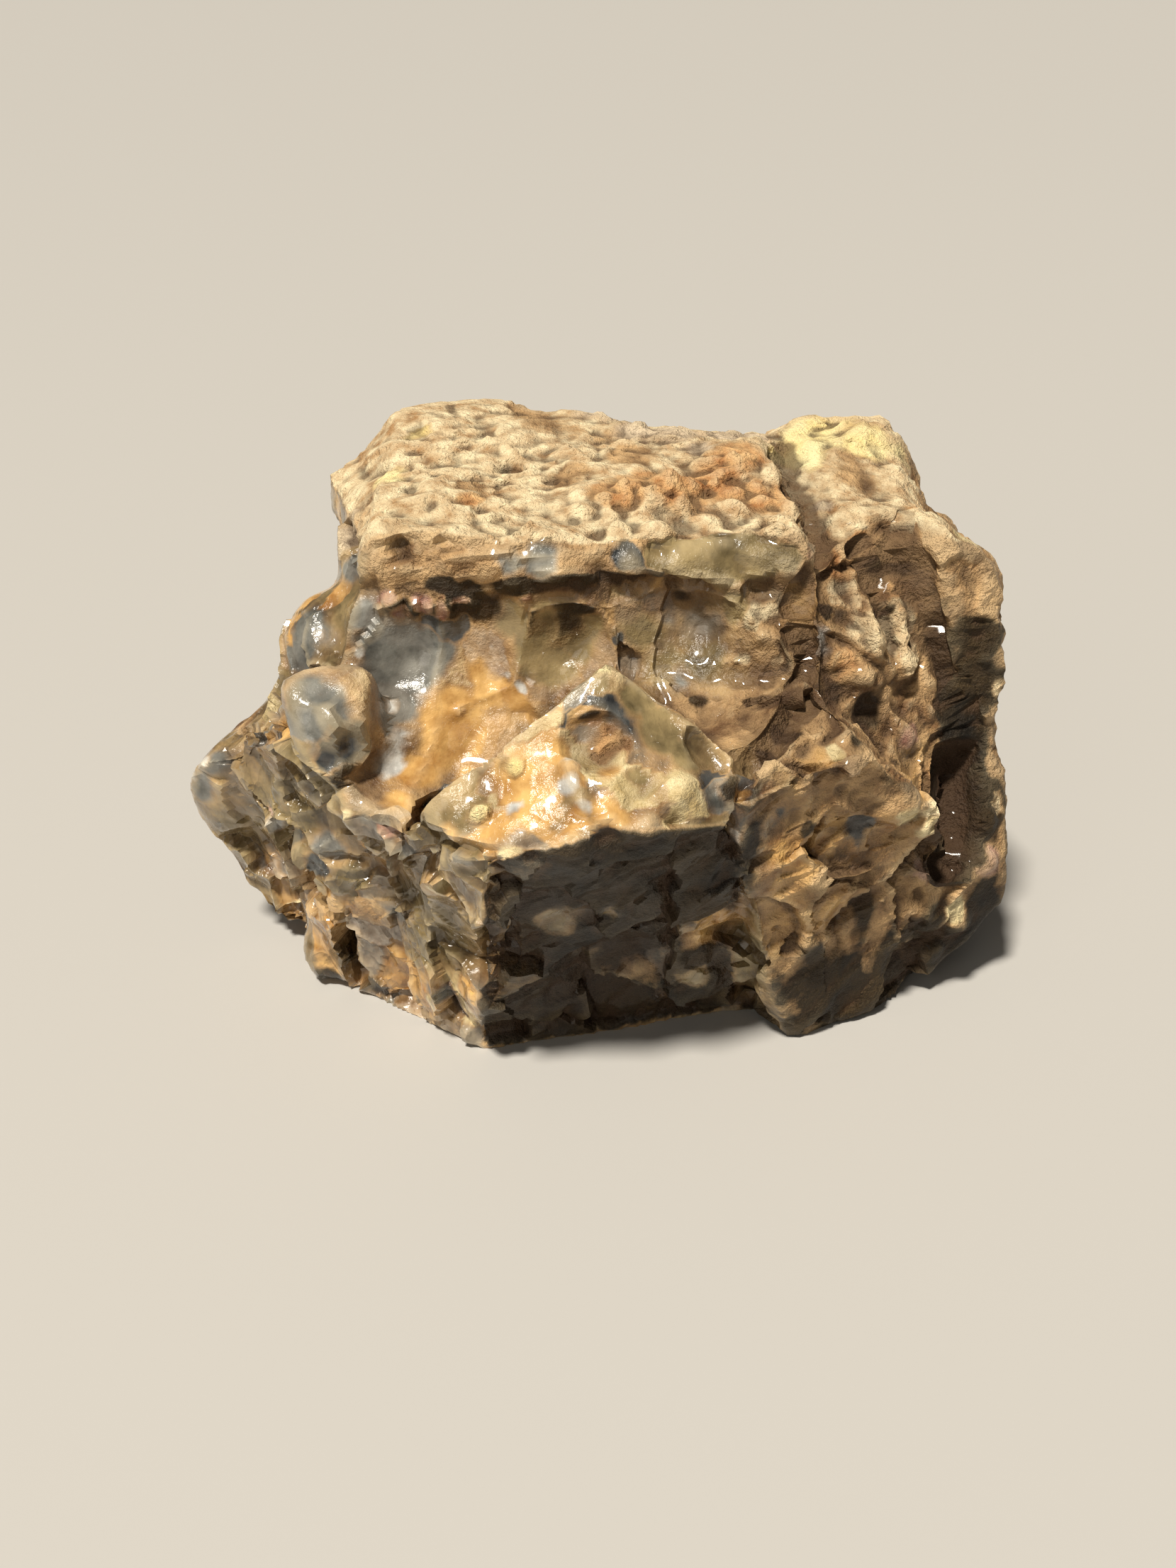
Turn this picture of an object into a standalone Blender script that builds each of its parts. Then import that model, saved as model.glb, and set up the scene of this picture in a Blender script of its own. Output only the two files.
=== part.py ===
"""A rough stone of jasper and agate, as it broke out of its bed: one closed solid, about 153 mm wide.

The stone is described as quarried rock is, by the planes it split along and the hollows that broke
out of it. Blocks cut by such planes are joined, hollows and seams are taken away, and what is left
is a distance to the surface: below zero inside the stone, above zero in the air. A cube, divided
and blown up to a ball, is then shrunk on to that surface, and small scars, lumps and pits are
pressed into it.

Axes: +X to the stone's right, +Y to its back, +Z up. Sizes in the lists below are millimetres.
"""

import bpy
import bmesh
import numpy as np

NAME = "agate_stone"
MM = 0.001

# ---------------------------------------------------------------- driving dimensions, mm
HEART = np.array((0.0, 2.0, 42.0))     # a point well inside, which every ray to the surface leaves
BALL_RADIUS = 130.0                    # a ball round the heart that holds the whole stone
CUTS = 27                              # divisions along each edge of the cube that is shrunk on
BEND_SIZE, BEND = 26.0, 1.5            # long waves of the split faces
WAVE_SIZE, WAVE = 9.0, 0.5             # short waves on them
BROAD_SCARS, SMALL_SCARS = 70, 160     # flakes struck off the glassy faces
CHIP_SOFTNESS = 0.8                    # rounding of the edge between two split faces
CRUST_LUMP_SIZE, CRUST_LUMP_RISE = 11.0, 1.4
CRUST_STIR_SIZE, CRUST_STIR = 8.0, 2.5 # how the lumps are pushed out of line
LUMP_PATCH_SIZE = 20.0                 # some stretches of crust are smoother than others
SCAR_LEFT_ON_CRUST = 0.15              # share of a scar's depth that shows in crust
RIPPLE_SIZE, RIPPLE = 9.0, 0.5         # low ripples everywhere
CREASE_AGREEMENT = (0.55, 0.90)        # length of the mean of the ways out: fully creased, not at all
CREASE_ROUNDS = 1
CALM_FOOT = 3.0                        # height over which the relief fades out above the ground
BASE_BAND = 0.35                       # vertices this near the ground lie on it

# ---------------------------------------------------------------- where the crust lies
# Each pair is where a measure starts to count and where it counts in full.
TOP_CRUST_HEIGHT = (83, 87)
TOP_CRUST_TILT = (0.35, 0.65)          # of the way out, upwards
RIGHT_CRUST = (38, 46)                 # to the right, at the level below
RIGHT_CRUST_LEVEL, RIGHT_CRUST_LEAN = 60, 0.35
RIGHT_CRUST_HEIGHT = (45, 65)
RIM_CRUST = (66, 71)

# ---------------------------------------------------------------- split faces
# Each is a point on the face, then the way it looks: degrees round from the front (-Y) towards the
# right (+X), and degrees up.
LEFT_FLANK = ((-16, -45, 28), -40, -16)
UNDER_FACE = ((0, -50, 50), 14, -24)
RIGHT_FLANK = ((39, -27, 0), 27, -9)
COLUMN_FACE = ((41, -13, 72), 40, 25)
RIGHT_SIDE = ((73.6, 12, 50), 94, 4)
RIGHT_HEEL = ((76, 8, 8), 70, -42)
GROUND_MIDDLE = ((0, 0, 0), 0, -90)
PROW_TIP = (3, -33, 79)

BODY = [
    LEFT_FLANK, UNDER_FACE, RIGHT_FLANK, COLUMN_FACE, RIGHT_SIDE, RIGHT_HEEL,
    ((-27, 0, 0), -90, -87),           # the ground side, rising a little to the left,
    ((50, 0, 0), 80, -83),             # to the right
    ((0, 14, 0), 180, -80),            # and to the back, so that it rests on its middle
    ((-76, 3, 33), -100, -20),         # left tip, under side
    ((-74.7, 4, 40.7), -85, 46),           # left tip, upper side
    ((-57, 25, 53), -106, 30),         # left shoulder
    ((-58, 38, 30), -140, -4),
    ((0, 52, 40), 178, 3),             # back
    ((62, 44, 40), 135, 0),
    ((0, 46, 10), 180, -42),           # back, under side
    ((-33, -43.5, 61), -8, 65),        # the floor in front of the head
    ((30, -22, 66), -5, 66),
    ((70, 30, 71), 95, 50),
    ((0, 30, 84), 0, 84),
]
RIGHT_SLAB = [
    RIGHT_FLANK, RIGHT_SIDE, RIGHT_HEEL, GROUND_MIDDLE,
    ((25, -18, 0), -42, -23),          # its left edge, over the under face
    ((24.4, -46, 56), 8, 58),
    ((52, -29, 54), 98, 40),
    ((25, -24, 68), -150, 38),
    ((8, -30, 60), -85, 20),
]
HEAD = [
    ((-38, -13, 89), 0, 82),           # crust on top
    ((31, 45, 91), 135, 80),
    ((-42, 35, 91.3), -78, 50),
    ((-39.6, -13, 82), -78, 10),       # left wall
    ((-20, -13, 85), -3, 4),           # front wall, the agate band
    ((32, -12, 82), 5, 30),
    ((36, 20, 80), 96, 2),
    ((-50, 30, 85), -120, 8),
    ((-32, 48, 80), -150, 8),
    ((0, 52, 80), 180, 8),
    ((0, 0, 40), 0, -90),
]
SHOULDER = [
    ((46, 40, 93.3), 10, 80),            # yellow crust on top
    ((33.5, 44, 90.1), -70, 60),           # rising from the notch beside the head
    ((40, 0, 88), 14, 62),
    COLUMN_FACE,
    ((61.6, 25, 86.7), 75, 48),
    ((63, 25, 84), 82, 14),
    ((36, 0, 85), -88, -3),
    ((50, 50, 80), 180, 12),
    ((66, 44, 70), 130, 10),
    ((0, 0, 35), 0, -90),
]
RIM = [
    RIGHT_HEEL,
    ((74.4, 6, 50), 92, 3),
    ((66, 6, 83.5), 100, 59),          # rounding over at its top
    ((70, 6, 81), 95, 20),
    ((70, -4, 50), 12, 6),
    ((78, 40, 50), 130, 0),
    ((60, 34, 50), 180, 5),
    ((60, 20, 80), -90, -15),          # the groove's far wall
    ((0, 0, 4), 0, -90),
]
PROW = [
    UNDER_FACE, LEFT_FLANK, GROUND_MIDDLE,
    (PROW_TIP, -14, 43),
    (PROW_TIP, 30, 40),
    (PROW_TIP, -125, 38),
    (PROW_TIP, 120, 41),
    (PROW_TIP, 180, 50),
    ((21, -47, 57), 72, 10),
]

# ---------------------------------------------------------------- hollows, seams and knobs
MAIN_HOLLOW = ((-21, -35.5, 75), (31, 23.2, 25))
SECOND_HOLLOW = ((15, -29.5, 76), (21, 17, 14))
GLASSY_KNOB = ((-41, -26.5, 61), (8, 7.5, 11))
PROW_HOLLOW = ((1.4, -45.5, 71.4), (7, 7, 5.5))
SCALLOPS = [                           # centre and radii of broad breaks in the main hollow's wall
    ((-5, -27, 72.5), (15, 16.5, 11)),
    ((-31, -29, 72), (18, 18, 14)),
]
BACK_HOLLOWS = [                       # centre and radius of scoops on the hidden sides
    ((-30, 88, 70), 44),
    ((34, 92, 40), 50),
    ((-84, 40, 18), 30),
    ((96, 44, 66), 30),
    ((2, 74, 118), 38),
    ((-6, 66, 6), 26),
]
LUMPS = [                              # centre and radii, at the back and then at the left
    ((14, 48, 52), (20, 7, 15)),
    ((-40, 40, 62), (13, 8, 12)),
    ((56, 34, 30), (14, 12, 16)),
    ((-46, 3, 62), (9.5, 10, 13)),
    ((-50, -6, 6), (8, 6, 6)),
]
GROOVE = [(57.5, 6.5, 80), (62.5, 4, 69), (65, 1, 59), (66.5, -3, 49), (66.5, -11, 38), (66.5, -17, 31.5)]
SEAM = [(-40, -14, 80), (-15, -14.5, 79.5), (10, -13.5, 81), (33, -13, 82)]
CRACK = [(34, 40, 90), (37.5, 0, 90), (37, -9, 84), (35, -13, 79), (34.5, -15.5, 74.5), (36.5, -18.5, 69)]
GROOVE_RADIUS, SEAM_RADIUS, CRACK_RADIUS = 4.6, 1.9, 1.5


# ---------------------------------------------------------------- noise
def lattice(seed):
    """A shuffled ring of numbers, three directions for each, and three numbers between 0 and 1."""
    draw = np.random.RandomState(seed)
    ring = np.concatenate([draw.permutation(256)] * 3)
    slopes = draw.normal(size=(256, 3, 3))
    slopes /= np.linalg.norm(slopes, axis=2, keepdims=True)
    return ring, slopes, draw.rand(256, 3)


RING, SLOPES, SCATTER = lattice(11)


def corner_number(corner):
    """The same number between 0 and 255 each time for a corner of the lattice."""
    corner = corner.astype(np.int64) & 255
    return RING[RING[RING[corner[:, 0]] + corner[:, 1]] + corner[:, 2]]


def sway(p, size):
    """Three gradient noises side by side, about -1 to 1: smooth waves roughly one size long."""
    q = p / size
    low = np.floor(q)
    part = q - low
    ease = part**3 * (part * (part * 6 - 15) + 10)
    total = np.zeros((len(p), 3))
    for step in np.ndindex(2, 2, 2):
        corner = np.array(step)
        weight = np.where(corner == 1, ease, 1 - ease).prod(axis=1)
        slopes = SLOPES[corner_number(low + corner)]
        total += weight[:, None] * np.einsum("nij,nj->ni", slopes, part - corner)
    return 1.6 * total


def nearest_seed(p, size):
    """Distance to the nearest of one seed in each cell of the lattice, in cells."""
    q = p / size
    low = np.floor(q)
    best = np.full(len(p), 9.0)
    for step in np.ndindex(3, 3, 3):
        cell = low + np.array(step) - 1
        seed = cell + 0.15 + 0.7 * SCATTER[corner_number(cell)]
        best = np.minimum(best, np.linalg.norm(q - seed, axis=1))
    return best


# ---------------------------------------------------------------- shapes, as distances
def facing(azimuth, elevation):
    """The unit vector that looks that way: 0, 0 is the front, -Y."""
    a, e = np.radians(azimuth), np.radians(elevation)
    return np.array((np.sin(a) * np.cos(e), -np.cos(a) * np.cos(e), np.sin(e)))


def both(a, b, soft):
    """What is inside both shapes, with the edge between them rounded."""
    h = np.clip(0.5 + 0.5 * (a - b) / soft, 0, 1)
    return b + (a - b) * h + soft * h * (1 - h)


def either(a, b, soft):
    """What is inside one shape or the other."""
    return -both(-a, -b, soft)


def block(p, faces):
    """A block of rock behind all its split faces."""
    inside = None
    for at, azimuth, elevation in faces:
        ahead = (p - np.array(at, float)) @ facing(azimuth, elevation)
        inside = ahead if inside is None else both(inside, ahead, CHIP_SOFTNESS)
    return inside


def egg(p, centre, radii):
    """A ball, or an egg with three radii."""
    radii = np.broadcast_to(np.array(radii, float), (3,))
    q = (p - np.array(centre, float)) / radii
    scaled = np.linalg.norm(q, axis=1)
    return scaled * (scaled - 1) / (np.linalg.norm(q / radii, axis=1) + 1e-9)


def rods(p, path, radius):
    """A round rod along a path."""
    near = np.full(len(p), 1e9)
    for a, b in zip(np.array(path[:-1], float), np.array(path[1:], float)):
        along = np.clip((p - a) @ (b - a) / ((b - a) @ (b - a)), 0, 1)
        near = np.minimum(near, np.linalg.norm(p - a - along[:, None] * (b - a), axis=1))
    return near - radius


def stone(p):
    """The stone without its small scars: blocks joined, hollows, groove and seams taken away."""
    q = p + BEND * sway(p, BEND_SIZE) + WAVE * sway(p + 31, WAVE_SIZE)
    f = block(q, BODY)
    f = either(f, block(q, RIGHT_SLAB), 1.0)
    f = either(f, block(q, HEAD), 1.0)
    f = either(f, block(q, SHOULDER), 1.5)
    f = either(f, block(q, RIM), 1.0)
    for centre, radii in LUMPS:
        f = either(f, egg(q, centre, radii), 4.0)
    for centre, radius in BACK_HOLLOWS:
        f = both(f, -egg(q, centre, radius), 0.8)
    for centre, radii in (MAIN_HOLLOW, SECOND_HOLLOW, *SCALLOPS):
        f = both(f, -egg(q, centre, radii), 0.6)
    f = either(f, block(q, PROW), 2.5)
    f = both(f, -egg(q, *PROW_HOLLOW), 0.8)
    f = either(f, egg(q, *GLASSY_KNOB), 4.0)
    for path, radius in ((GROOVE, GROOVE_RADIUS), (SEAM, SEAM_RADIUS), (CRACK, CRACK_RADIUS)):
        f = both(f, -rods(q, path, radius), 1.5)
    return both(f, -p[:, 2], 0.1)


def outward(p):
    """The way out of the stone at each point, and the distance there."""
    step = 0.25
    here = stone(p)
    slope = np.stack([stone(p + step * axis) - here for axis in np.eye(3)], axis=1) / step
    steep = np.linalg.norm(slope, axis=1)[:, None] + 1e-9
    return slope / steep, here / steep[:, 0]


def shrink(ways):
    """Walks in from the big ball to the surface along each way."""
    reach = np.full(len(ways), BALL_RADIUS)
    for _ in range(90):
        reach -= 0.7 * stone(HEART + reach[:, None] * ways)
    return HEART + reach[:, None] * ways


def neighbour_mean(values, edges):
    """For each vertex, the mean of its neighbours' values."""
    total = np.zeros_like(values)
    np.add.at(total, edges[:, 0], values[edges[:, 1]])
    np.add.at(total, edges[:, 1], values[edges[:, 0]])
    return total / np.bincount(edges.ravel(), minlength=len(values))[:, None]


def settle(p, edges, rounds):
    """Evens the spacing of the vertices, and drops each back on the surface."""
    for _ in range(rounds):
        p = 0.5 * p + 0.5 * neighbour_mean(p, edges)
        for _ in range(2):
            out, ahead = outward(p)
            p = p - out * np.clip(ahead, -2, 2)[:, None]
    return p


# ---------------------------------------------------------------- small relief
def ramp(values, start_and_full):
    """0 up to the start, 1 from where it counts in full, and a straight rise between."""
    start, full = start_and_full
    return np.clip((values - start) / (full - start), 0, 1)


def crusty(p, out):
    """How crusty each point is, 0 to 1: the top and the right side are crust, the rest glassy."""
    top = ramp(p[:, 2], TOP_CRUST_HEIGHT) * ramp(out[:, 2], TOP_CRUST_TILT)
    leaning = p[:, 0] + RIGHT_CRUST_LEAN * (RIGHT_CRUST_LEVEL - p[:, 2])
    right = ramp(leaning, RIGHT_CRUST) * ramp(p[:, 2], RIGHT_CRUST_HEIGHT)
    return np.maximum(np.maximum(top, right), ramp(p[:, 0], RIM_CRUST))


def scars(p, out, seed, count, sizes, depths):
    """Shell-shaped scars: each is the cap of a ball that hangs over the face, pressed in."""
    draw = np.random.RandomState(seed)
    ways = draw.normal(size=(count, 3))
    centres = shrink(ways / np.linalg.norm(ways, axis=1)[:, None])
    leans = outward(centres)[0] + 0.25 * draw.normal(size=(count, 3))
    leans /= np.linalg.norm(leans, axis=1)[:, None]
    depth = np.zeros(len(p))
    for centre, lean in zip(centres, leans):
        radius = draw.uniform(*sizes)
        sink = draw.uniform(*depths)
        q = p - (centre + lean * (radius - sink))
        along = (q * out).sum(axis=1)
        inside = radius**2 - (q**2).sum(axis=1)
        cut = along + np.sqrt(np.maximum(along**2 + inside, 0))
        depth = np.maximum(depth, np.where(inside > 0, np.minimum(cut, 1.5 * sink), 0))
    return depth


def crust_lumps(p):
    """Round lumps about seeds in stirred cells, higher in some patches than in others."""
    stirred = p + CRUST_STIR * sway(p + 7, CRUST_STIR_SIZE)
    domes = np.clip(1 - 2 * nearest_seed(stirred, CRUST_LUMP_SIZE) ** 2, 0, 1)
    return CRUST_LUMP_RISE * domes * (0.6 + sway(p, LUMP_PATCH_SIZE)[:, 1])


def creased(out, edges):
    """How creased each point is, 0 to 1: neighbours' ways out cancel where they disagree."""
    return 1 - ramp(np.linalg.norm(neighbour_mean(out, edges), axis=1), CREASE_AGREEMENT)


def relief(p, edges):
    """Scars on the glassy faces, lumps on the crust, and creases evened so that no teeth stand up."""
    out, _ = outward(p)
    crust = crusty(p, out)
    crease = creased(out, edges)[:, None]
    scarred = np.maximum(
        scars(p, out, 5, BROAD_SCARS, (14, 30), (0.9, 2.0)),
        scars(p, out, 8, SMALL_SCARS, (7, 14), (0.6, 1.4)),
    )
    height = crust * crust_lumps(p) - scarred * (1 - (1 - SCAR_LEFT_ON_CRUST) * crust)
    height += RIPPLE * sway(p, RIPPLE_SIZE)[:, 0]
    height *= ramp(p[:, 2], (0, CALM_FOOT))
    p = p + out * height[:, None] * (1 - crease)
    for _ in range(CREASE_ROUNDS):
        p = p + 0.8 * crease * (neighbour_mean(p, edges) - p)
    return p


# ---------------------------------------------------------------- the object
def ball_mesh():
    """A cube, its edges divided, its vertices moved out to an even ball."""
    bm = bmesh.new()
    bmesh.ops.create_cube(bm, size=2.0)
    bmesh.ops.subdivide_edges(bm, edges=bm.edges[:], cuts=CUTS, use_grid_fill=True)
    return bm


def flat_base(p):
    """Vertices that lie within a hair of the ground go down to it."""
    p[:, 2] = np.where(p[:, 2] < BASE_BAND, 0.0, p[:, 2])
    return p


def centred(p):
    """Moves the stone so that the middle of its box stands over the origin."""
    middle = 0.5 * (p.min(axis=0) + p.max(axis=0))
    print("the origin is at", middle[:2].round(3), "mm of the lists above")
    return p - (middle[0], middle[1], 0.0)


def stone_material():
    """Dull tan and olive, half glassy."""
    material = bpy.data.materials.new("agate_rock")
    material.use_nodes = True
    shader = material.node_tree.nodes["Principled BSDF"]
    shader.inputs["Base Color"].default_value = (0.36, 0.27, 0.16, 1)
    shader.inputs["Roughness"].default_value = 0.42
    shader.inputs["Metallic"].default_value = 0.0
    return material


def build_stone():
    bm = ball_mesh()
    bm.verts.ensure_lookup_table()
    cube = np.array([v.co[:] for v in bm.verts])
    edges = np.array([[v.index for v in e.verts] for e in bm.edges])
    ways = np.tan(cube * np.pi / 4) * (1.25, 0.9, 0.85)
    ways /= np.linalg.norm(ways, axis=1)[:, None]
    p = settle(shrink(ways), edges, 14)
    p = centred(flat_base(relief(p, edges)))
    for vertex, place in zip(bm.verts, p * MM):
        vertex.co = place
    bmesh.ops.triangulate(bm, faces=bm.faces[:], quad_method="SHORT_EDGE")
    bmesh.ops.recalc_face_normals(bm, faces=bm.faces[:])
    mesh = bpy.data.meshes.new(NAME)
    bm.to_mesh(mesh)
    bm.free()
    mesh.shade_smooth()
    mesh.set_sharp_from_angle(angle=np.radians(32))
    mesh.materials.append(stone_material())
    stone_object = bpy.data.objects.new(NAME, mesh)
    print("stone", np.ptp(p, axis=0).round(2), "mm,", len(mesh.polygons), "triangles")
    return stone_object


def main():
    for old in list(bpy.data.objects):
        bpy.data.objects.remove(old)
    collection = bpy.data.collections.new("jasper_agate")
    bpy.context.scene.collection.children.link(collection)
    collection.objects.link(build_stone())


main()
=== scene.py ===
# %% [markdown]
# # A rough stone of jasper and agate
# This lesson dresses one natural stone. A imported solid already says how big the stone is, how it
# rests and what it weighs. Here it gets its real skin: glassy shell-shaped breaks, a gritty crust,
# clouds of blue and honey-coloured agate, and the brown jasper between them.
#
# The imported solid is loaded first and never changed. Its box is kept, and the skin is held in it.

import bpy
import numpy as np
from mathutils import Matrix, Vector


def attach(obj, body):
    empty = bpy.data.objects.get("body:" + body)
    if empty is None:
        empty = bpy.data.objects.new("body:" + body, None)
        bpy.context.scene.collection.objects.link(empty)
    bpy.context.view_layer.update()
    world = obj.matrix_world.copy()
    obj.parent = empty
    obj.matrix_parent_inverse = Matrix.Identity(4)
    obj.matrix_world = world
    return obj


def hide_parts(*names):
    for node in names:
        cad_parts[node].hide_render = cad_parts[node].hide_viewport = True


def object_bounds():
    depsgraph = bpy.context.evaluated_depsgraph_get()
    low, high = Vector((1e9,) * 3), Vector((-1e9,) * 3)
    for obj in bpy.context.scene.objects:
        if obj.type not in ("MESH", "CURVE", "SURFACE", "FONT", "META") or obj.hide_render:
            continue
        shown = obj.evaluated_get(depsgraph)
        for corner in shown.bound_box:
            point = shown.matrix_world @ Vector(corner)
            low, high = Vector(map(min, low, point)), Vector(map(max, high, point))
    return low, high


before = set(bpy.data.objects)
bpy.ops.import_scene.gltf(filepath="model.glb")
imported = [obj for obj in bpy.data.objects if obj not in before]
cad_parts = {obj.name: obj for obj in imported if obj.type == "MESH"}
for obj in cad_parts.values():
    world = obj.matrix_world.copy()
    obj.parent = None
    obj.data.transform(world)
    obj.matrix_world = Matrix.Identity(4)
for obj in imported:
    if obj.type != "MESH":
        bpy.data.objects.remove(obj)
cad_box = [list(corner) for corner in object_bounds()]

# %% [markdown]
# ## Camera
# The camera looks down at the stone from close by, as someone does who has it on the table before
# them, so the front looms and the back falls away. The stone's own lists below are in millimetres,
# and their origin is not quite under the middle of its box. So a small shift turns them into the
# frame's metres, and the camera's place is worked out in the same lists.

# %% Set up the camera
MM = 0.001
LIST_ORIGIN = np.array((1.532, 2.013, 0.0))     # the middle of the stone's box, in its lists
LOOK_AT = np.array((0.0, -20.0, 48.0))          # mm, the middle of the picture
LOOK_DOWN, CAMERA_AWAY = 28.0, 262.0            # degrees, mm
LENS, SENSOR_HEIGHT = 35.0, 36.0                # mm


def add_camera():
    """Steps back from the point that is looked at, and up by the angle of the view."""
    down = np.radians(LOOK_DOWN)
    back = np.array((0.0, -np.cos(down), np.sin(down)))
    data = bpy.data.cameras.new("stone_camera")
    data.lens, data.sensor_fit, data.sensor_height = LENS, "VERTICAL", SENSOR_HEIGHT
    camera = bpy.data.objects.new("stone_camera", data)
    camera.location = (LOOK_AT + CAMERA_AWAY * back - LIST_ORIGIN) * MM
    camera.rotation_euler = (np.pi / 2 - down, 0, 0)
    bpy.context.scene.collection.objects.link(camera)
    bpy.context.scene.camera = camera
    return camera


print("camera at", [round(v, 4) for v in add_camera().location])

# %% [markdown]
# ## Floor
# The stone lies on a plain pale floor. A big square would do, but a disc has no corner that could
# turn up in a view from another side. It is a grid of rings and turns, with a small fan of
# triangles that closes its middle.

# %% Build the floor
FLOOR_RADII = np.array((0.0, 0.3, 1.0, 4.0, 15.0, 60.0))
FLOOR_TURNS = 64
FLOOR_COLOUR, FLOOR_ROUGHNESS = (0.46, 0.45, 0.43), 0.7


def mesh_piece(name, points, faces):
    """One mesh object at the origin, its place in its vertices."""
    mesh = bpy.data.meshes.new(name)
    mesh.from_pydata(points.tolist(), [], faces.tolist())
    piece = bpy.data.objects.new(name, mesh)
    bpy.context.scene.collection.objects.link(piece)
    return piece


def floor_disc():
    """Radius times (cosine, sine) of the angle, over every radius and every turn."""
    turn = np.linspace(0, 2 * np.pi, FLOOR_TURNS, endpoint=False)
    x = FLOOR_RADII[1:, None] * np.cos(turn)
    y = FLOOR_RADII[1:, None] * np.sin(turn)
    rings = np.stack((x, y, 0 * x), axis=-1).reshape(-1, 3)
    points = np.vstack((rings, (0, 0, 0)))
    here = np.arange(FLOOR_TURNS)
    there = (here + 1) % FLOOR_TURNS
    fan = np.stack((here, there, np.full(FLOOR_TURNS, len(rings))), axis=1)
    start = FLOOR_TURNS * np.arange(len(FLOOR_RADII) - 2)[:, None]
    quads = np.stack((start + here, start + FLOOR_TURNS + here,
                      start + FLOOR_TURNS + there, start + there), axis=-1).reshape(-1, 4)
    piece = mesh_piece("studio_floor", points, quads)
    middle = mesh_piece("studio_floor_middle", points, fan)
    return piece, middle


def plain_material(name, colour, roughness):
    """One colour and one roughness, with no pattern."""
    material = bpy.data.materials.new(name)
    material.use_nodes = True
    shader = material.node_tree.nodes["Principled BSDF"]
    shader.inputs["Base Color"].default_value = (*colour, 1)
    shader.inputs["Roughness"].default_value = roughness
    return material


floor_paint = plain_material("pale_floor", FLOOR_COLOUR, FLOOR_ROUGHNESS)
floors = floor_disc()
for floor in floors:
    floor.data.materials.append(floor_paint)
print("floor", [floor.name for floor in floors], "with a radius of", FLOOR_RADII[-1], "m")

# %% [markdown]
# ## Lamps
# One strong lamp stands almost overhead, a little to the front and to the left. That makes the
# crust shine, reaches into the hollows and leaves the overhanging front dark. It is a sun lamp
# whose disc is wide enough for soft shadows. A weak warm sky and a wide, weak lamp at the front
# keep the shadows readable.

# %% Hang the lamps
TOWARDS_KEY, KEY_WIDTH, KEY_STRENGTH = (-0.26, -0.40, 1.0), 7.0, 5.0    # the width in degrees
KEY_COLOUR, WARM = (1.0, 0.93, 0.82), (1.0, 0.94, 0.84)
FRONT_PLACE, FRONT_TARGET = (-0.5, -0.9, 0.55), (0, 0, 0.04)            # metres
FRONT_SIZE, FRONT_WATTS = 0.5, 1.5
SKY_STRENGTH = 0.11


def sun_lamp(name, towards, width, strength, colour):
    """A far lamp whose disc is so many degrees wide."""
    data = bpy.data.lights.new(name, "SUN")
    data.angle, data.energy, data.color = np.radians(width), strength, colour
    lamp = bpy.data.objects.new(name, data)
    lamp.rotation_euler = Vector(towards).to_track_quat("Z", "Y").to_euler()
    bpy.context.scene.collection.objects.link(lamp)
    return lamp


def area_lamp(name, place, target, size, watts, colour):
    """A square lamp that faces its target."""
    data = bpy.data.lights.new(name, "AREA")
    data.size, data.energy, data.color = size, watts, colour
    lamp = bpy.data.objects.new(name, data)
    lamp.location = place
    aim = Vector(target) - Vector(place)
    lamp.rotation_euler = aim.to_track_quat("-Z", "Y").to_euler()
    bpy.context.scene.collection.objects.link(lamp)
    return lamp


area_lamp("front_lamp", FRONT_PLACE, FRONT_TARGET, FRONT_SIZE, FRONT_WATTS, WARM)
sun_lamp("key_lamp", TOWARDS_KEY, KEY_WIDTH, KEY_STRENGTH, KEY_COLOUR)
world = bpy.data.worlds.new("studio_sky")
world.use_nodes = True
sky = world.node_tree.nodes["Background"]
sky.inputs["Color"].default_value = (*KEY_COLOUR, 1)
sky.inputs["Strength"].default_value = SKY_STRENGTH
bpy.context.scene.world = world
bpy.context.scene.view_settings.view_transform = "Standard"

# %% [markdown]
# ## Noise
# Rock is never straight, so every shape here is stirred by noise. Gradient noise gives smooth
# waves: each corner of a lattice has a slope, and the slopes are blended across the cell. Cell
# noise gives grains: each cell has one seed, and the distance to the nearest is what counts. A
# third kind gives each seed a tilted plane of its own, which is how shards lie. All are worked out
# on whole arrays of points, with a seeded ring of numbers, so every run is alike.

# %% Three kinds of noise
def lattice(seed):
    """A shuffled ring of numbers, three directions for each, and three numbers between 0 and 1."""
    draw = np.random.RandomState(seed)
    ring = np.concatenate([draw.permutation(256)] * 3)
    slopes = draw.normal(size=(256, 3, 3))
    slopes /= np.linalg.norm(slopes, axis=2, keepdims=True)
    return ring, slopes, draw.rand(256, 3)


RING, SLOPES, SCATTER = lattice(11)


def corner_number(corner):
    """The same number between 0 and 255 each time for a corner of the lattice."""
    corner = corner.astype(np.int64) & 255
    return RING[RING[RING[corner[:, 0]] + corner[:, 1]] + corner[:, 2]]


def sway(p, size):
    """Three gradient noises side by side, about -1 to 1: the sum over a cell's eight corners of
    slope times offset, weighted by how near the corner is."""
    q = p / size
    low = np.floor(q)
    part = q - low
    ease = part**3 * (part * (part * 6 - 15) + 10)
    total = np.zeros((len(p), 3))
    for step in np.ndindex(2, 2, 2):
        corner = np.array(step)
        weight = np.where(corner == 1, ease, 1 - ease).prod(axis=1)
        slopes = SLOPES[corner_number(low + corner)]
        total += weight[:, None] * np.einsum("nij,nj->ni", slopes, part - corner)
    return 1.6 * total


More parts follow.
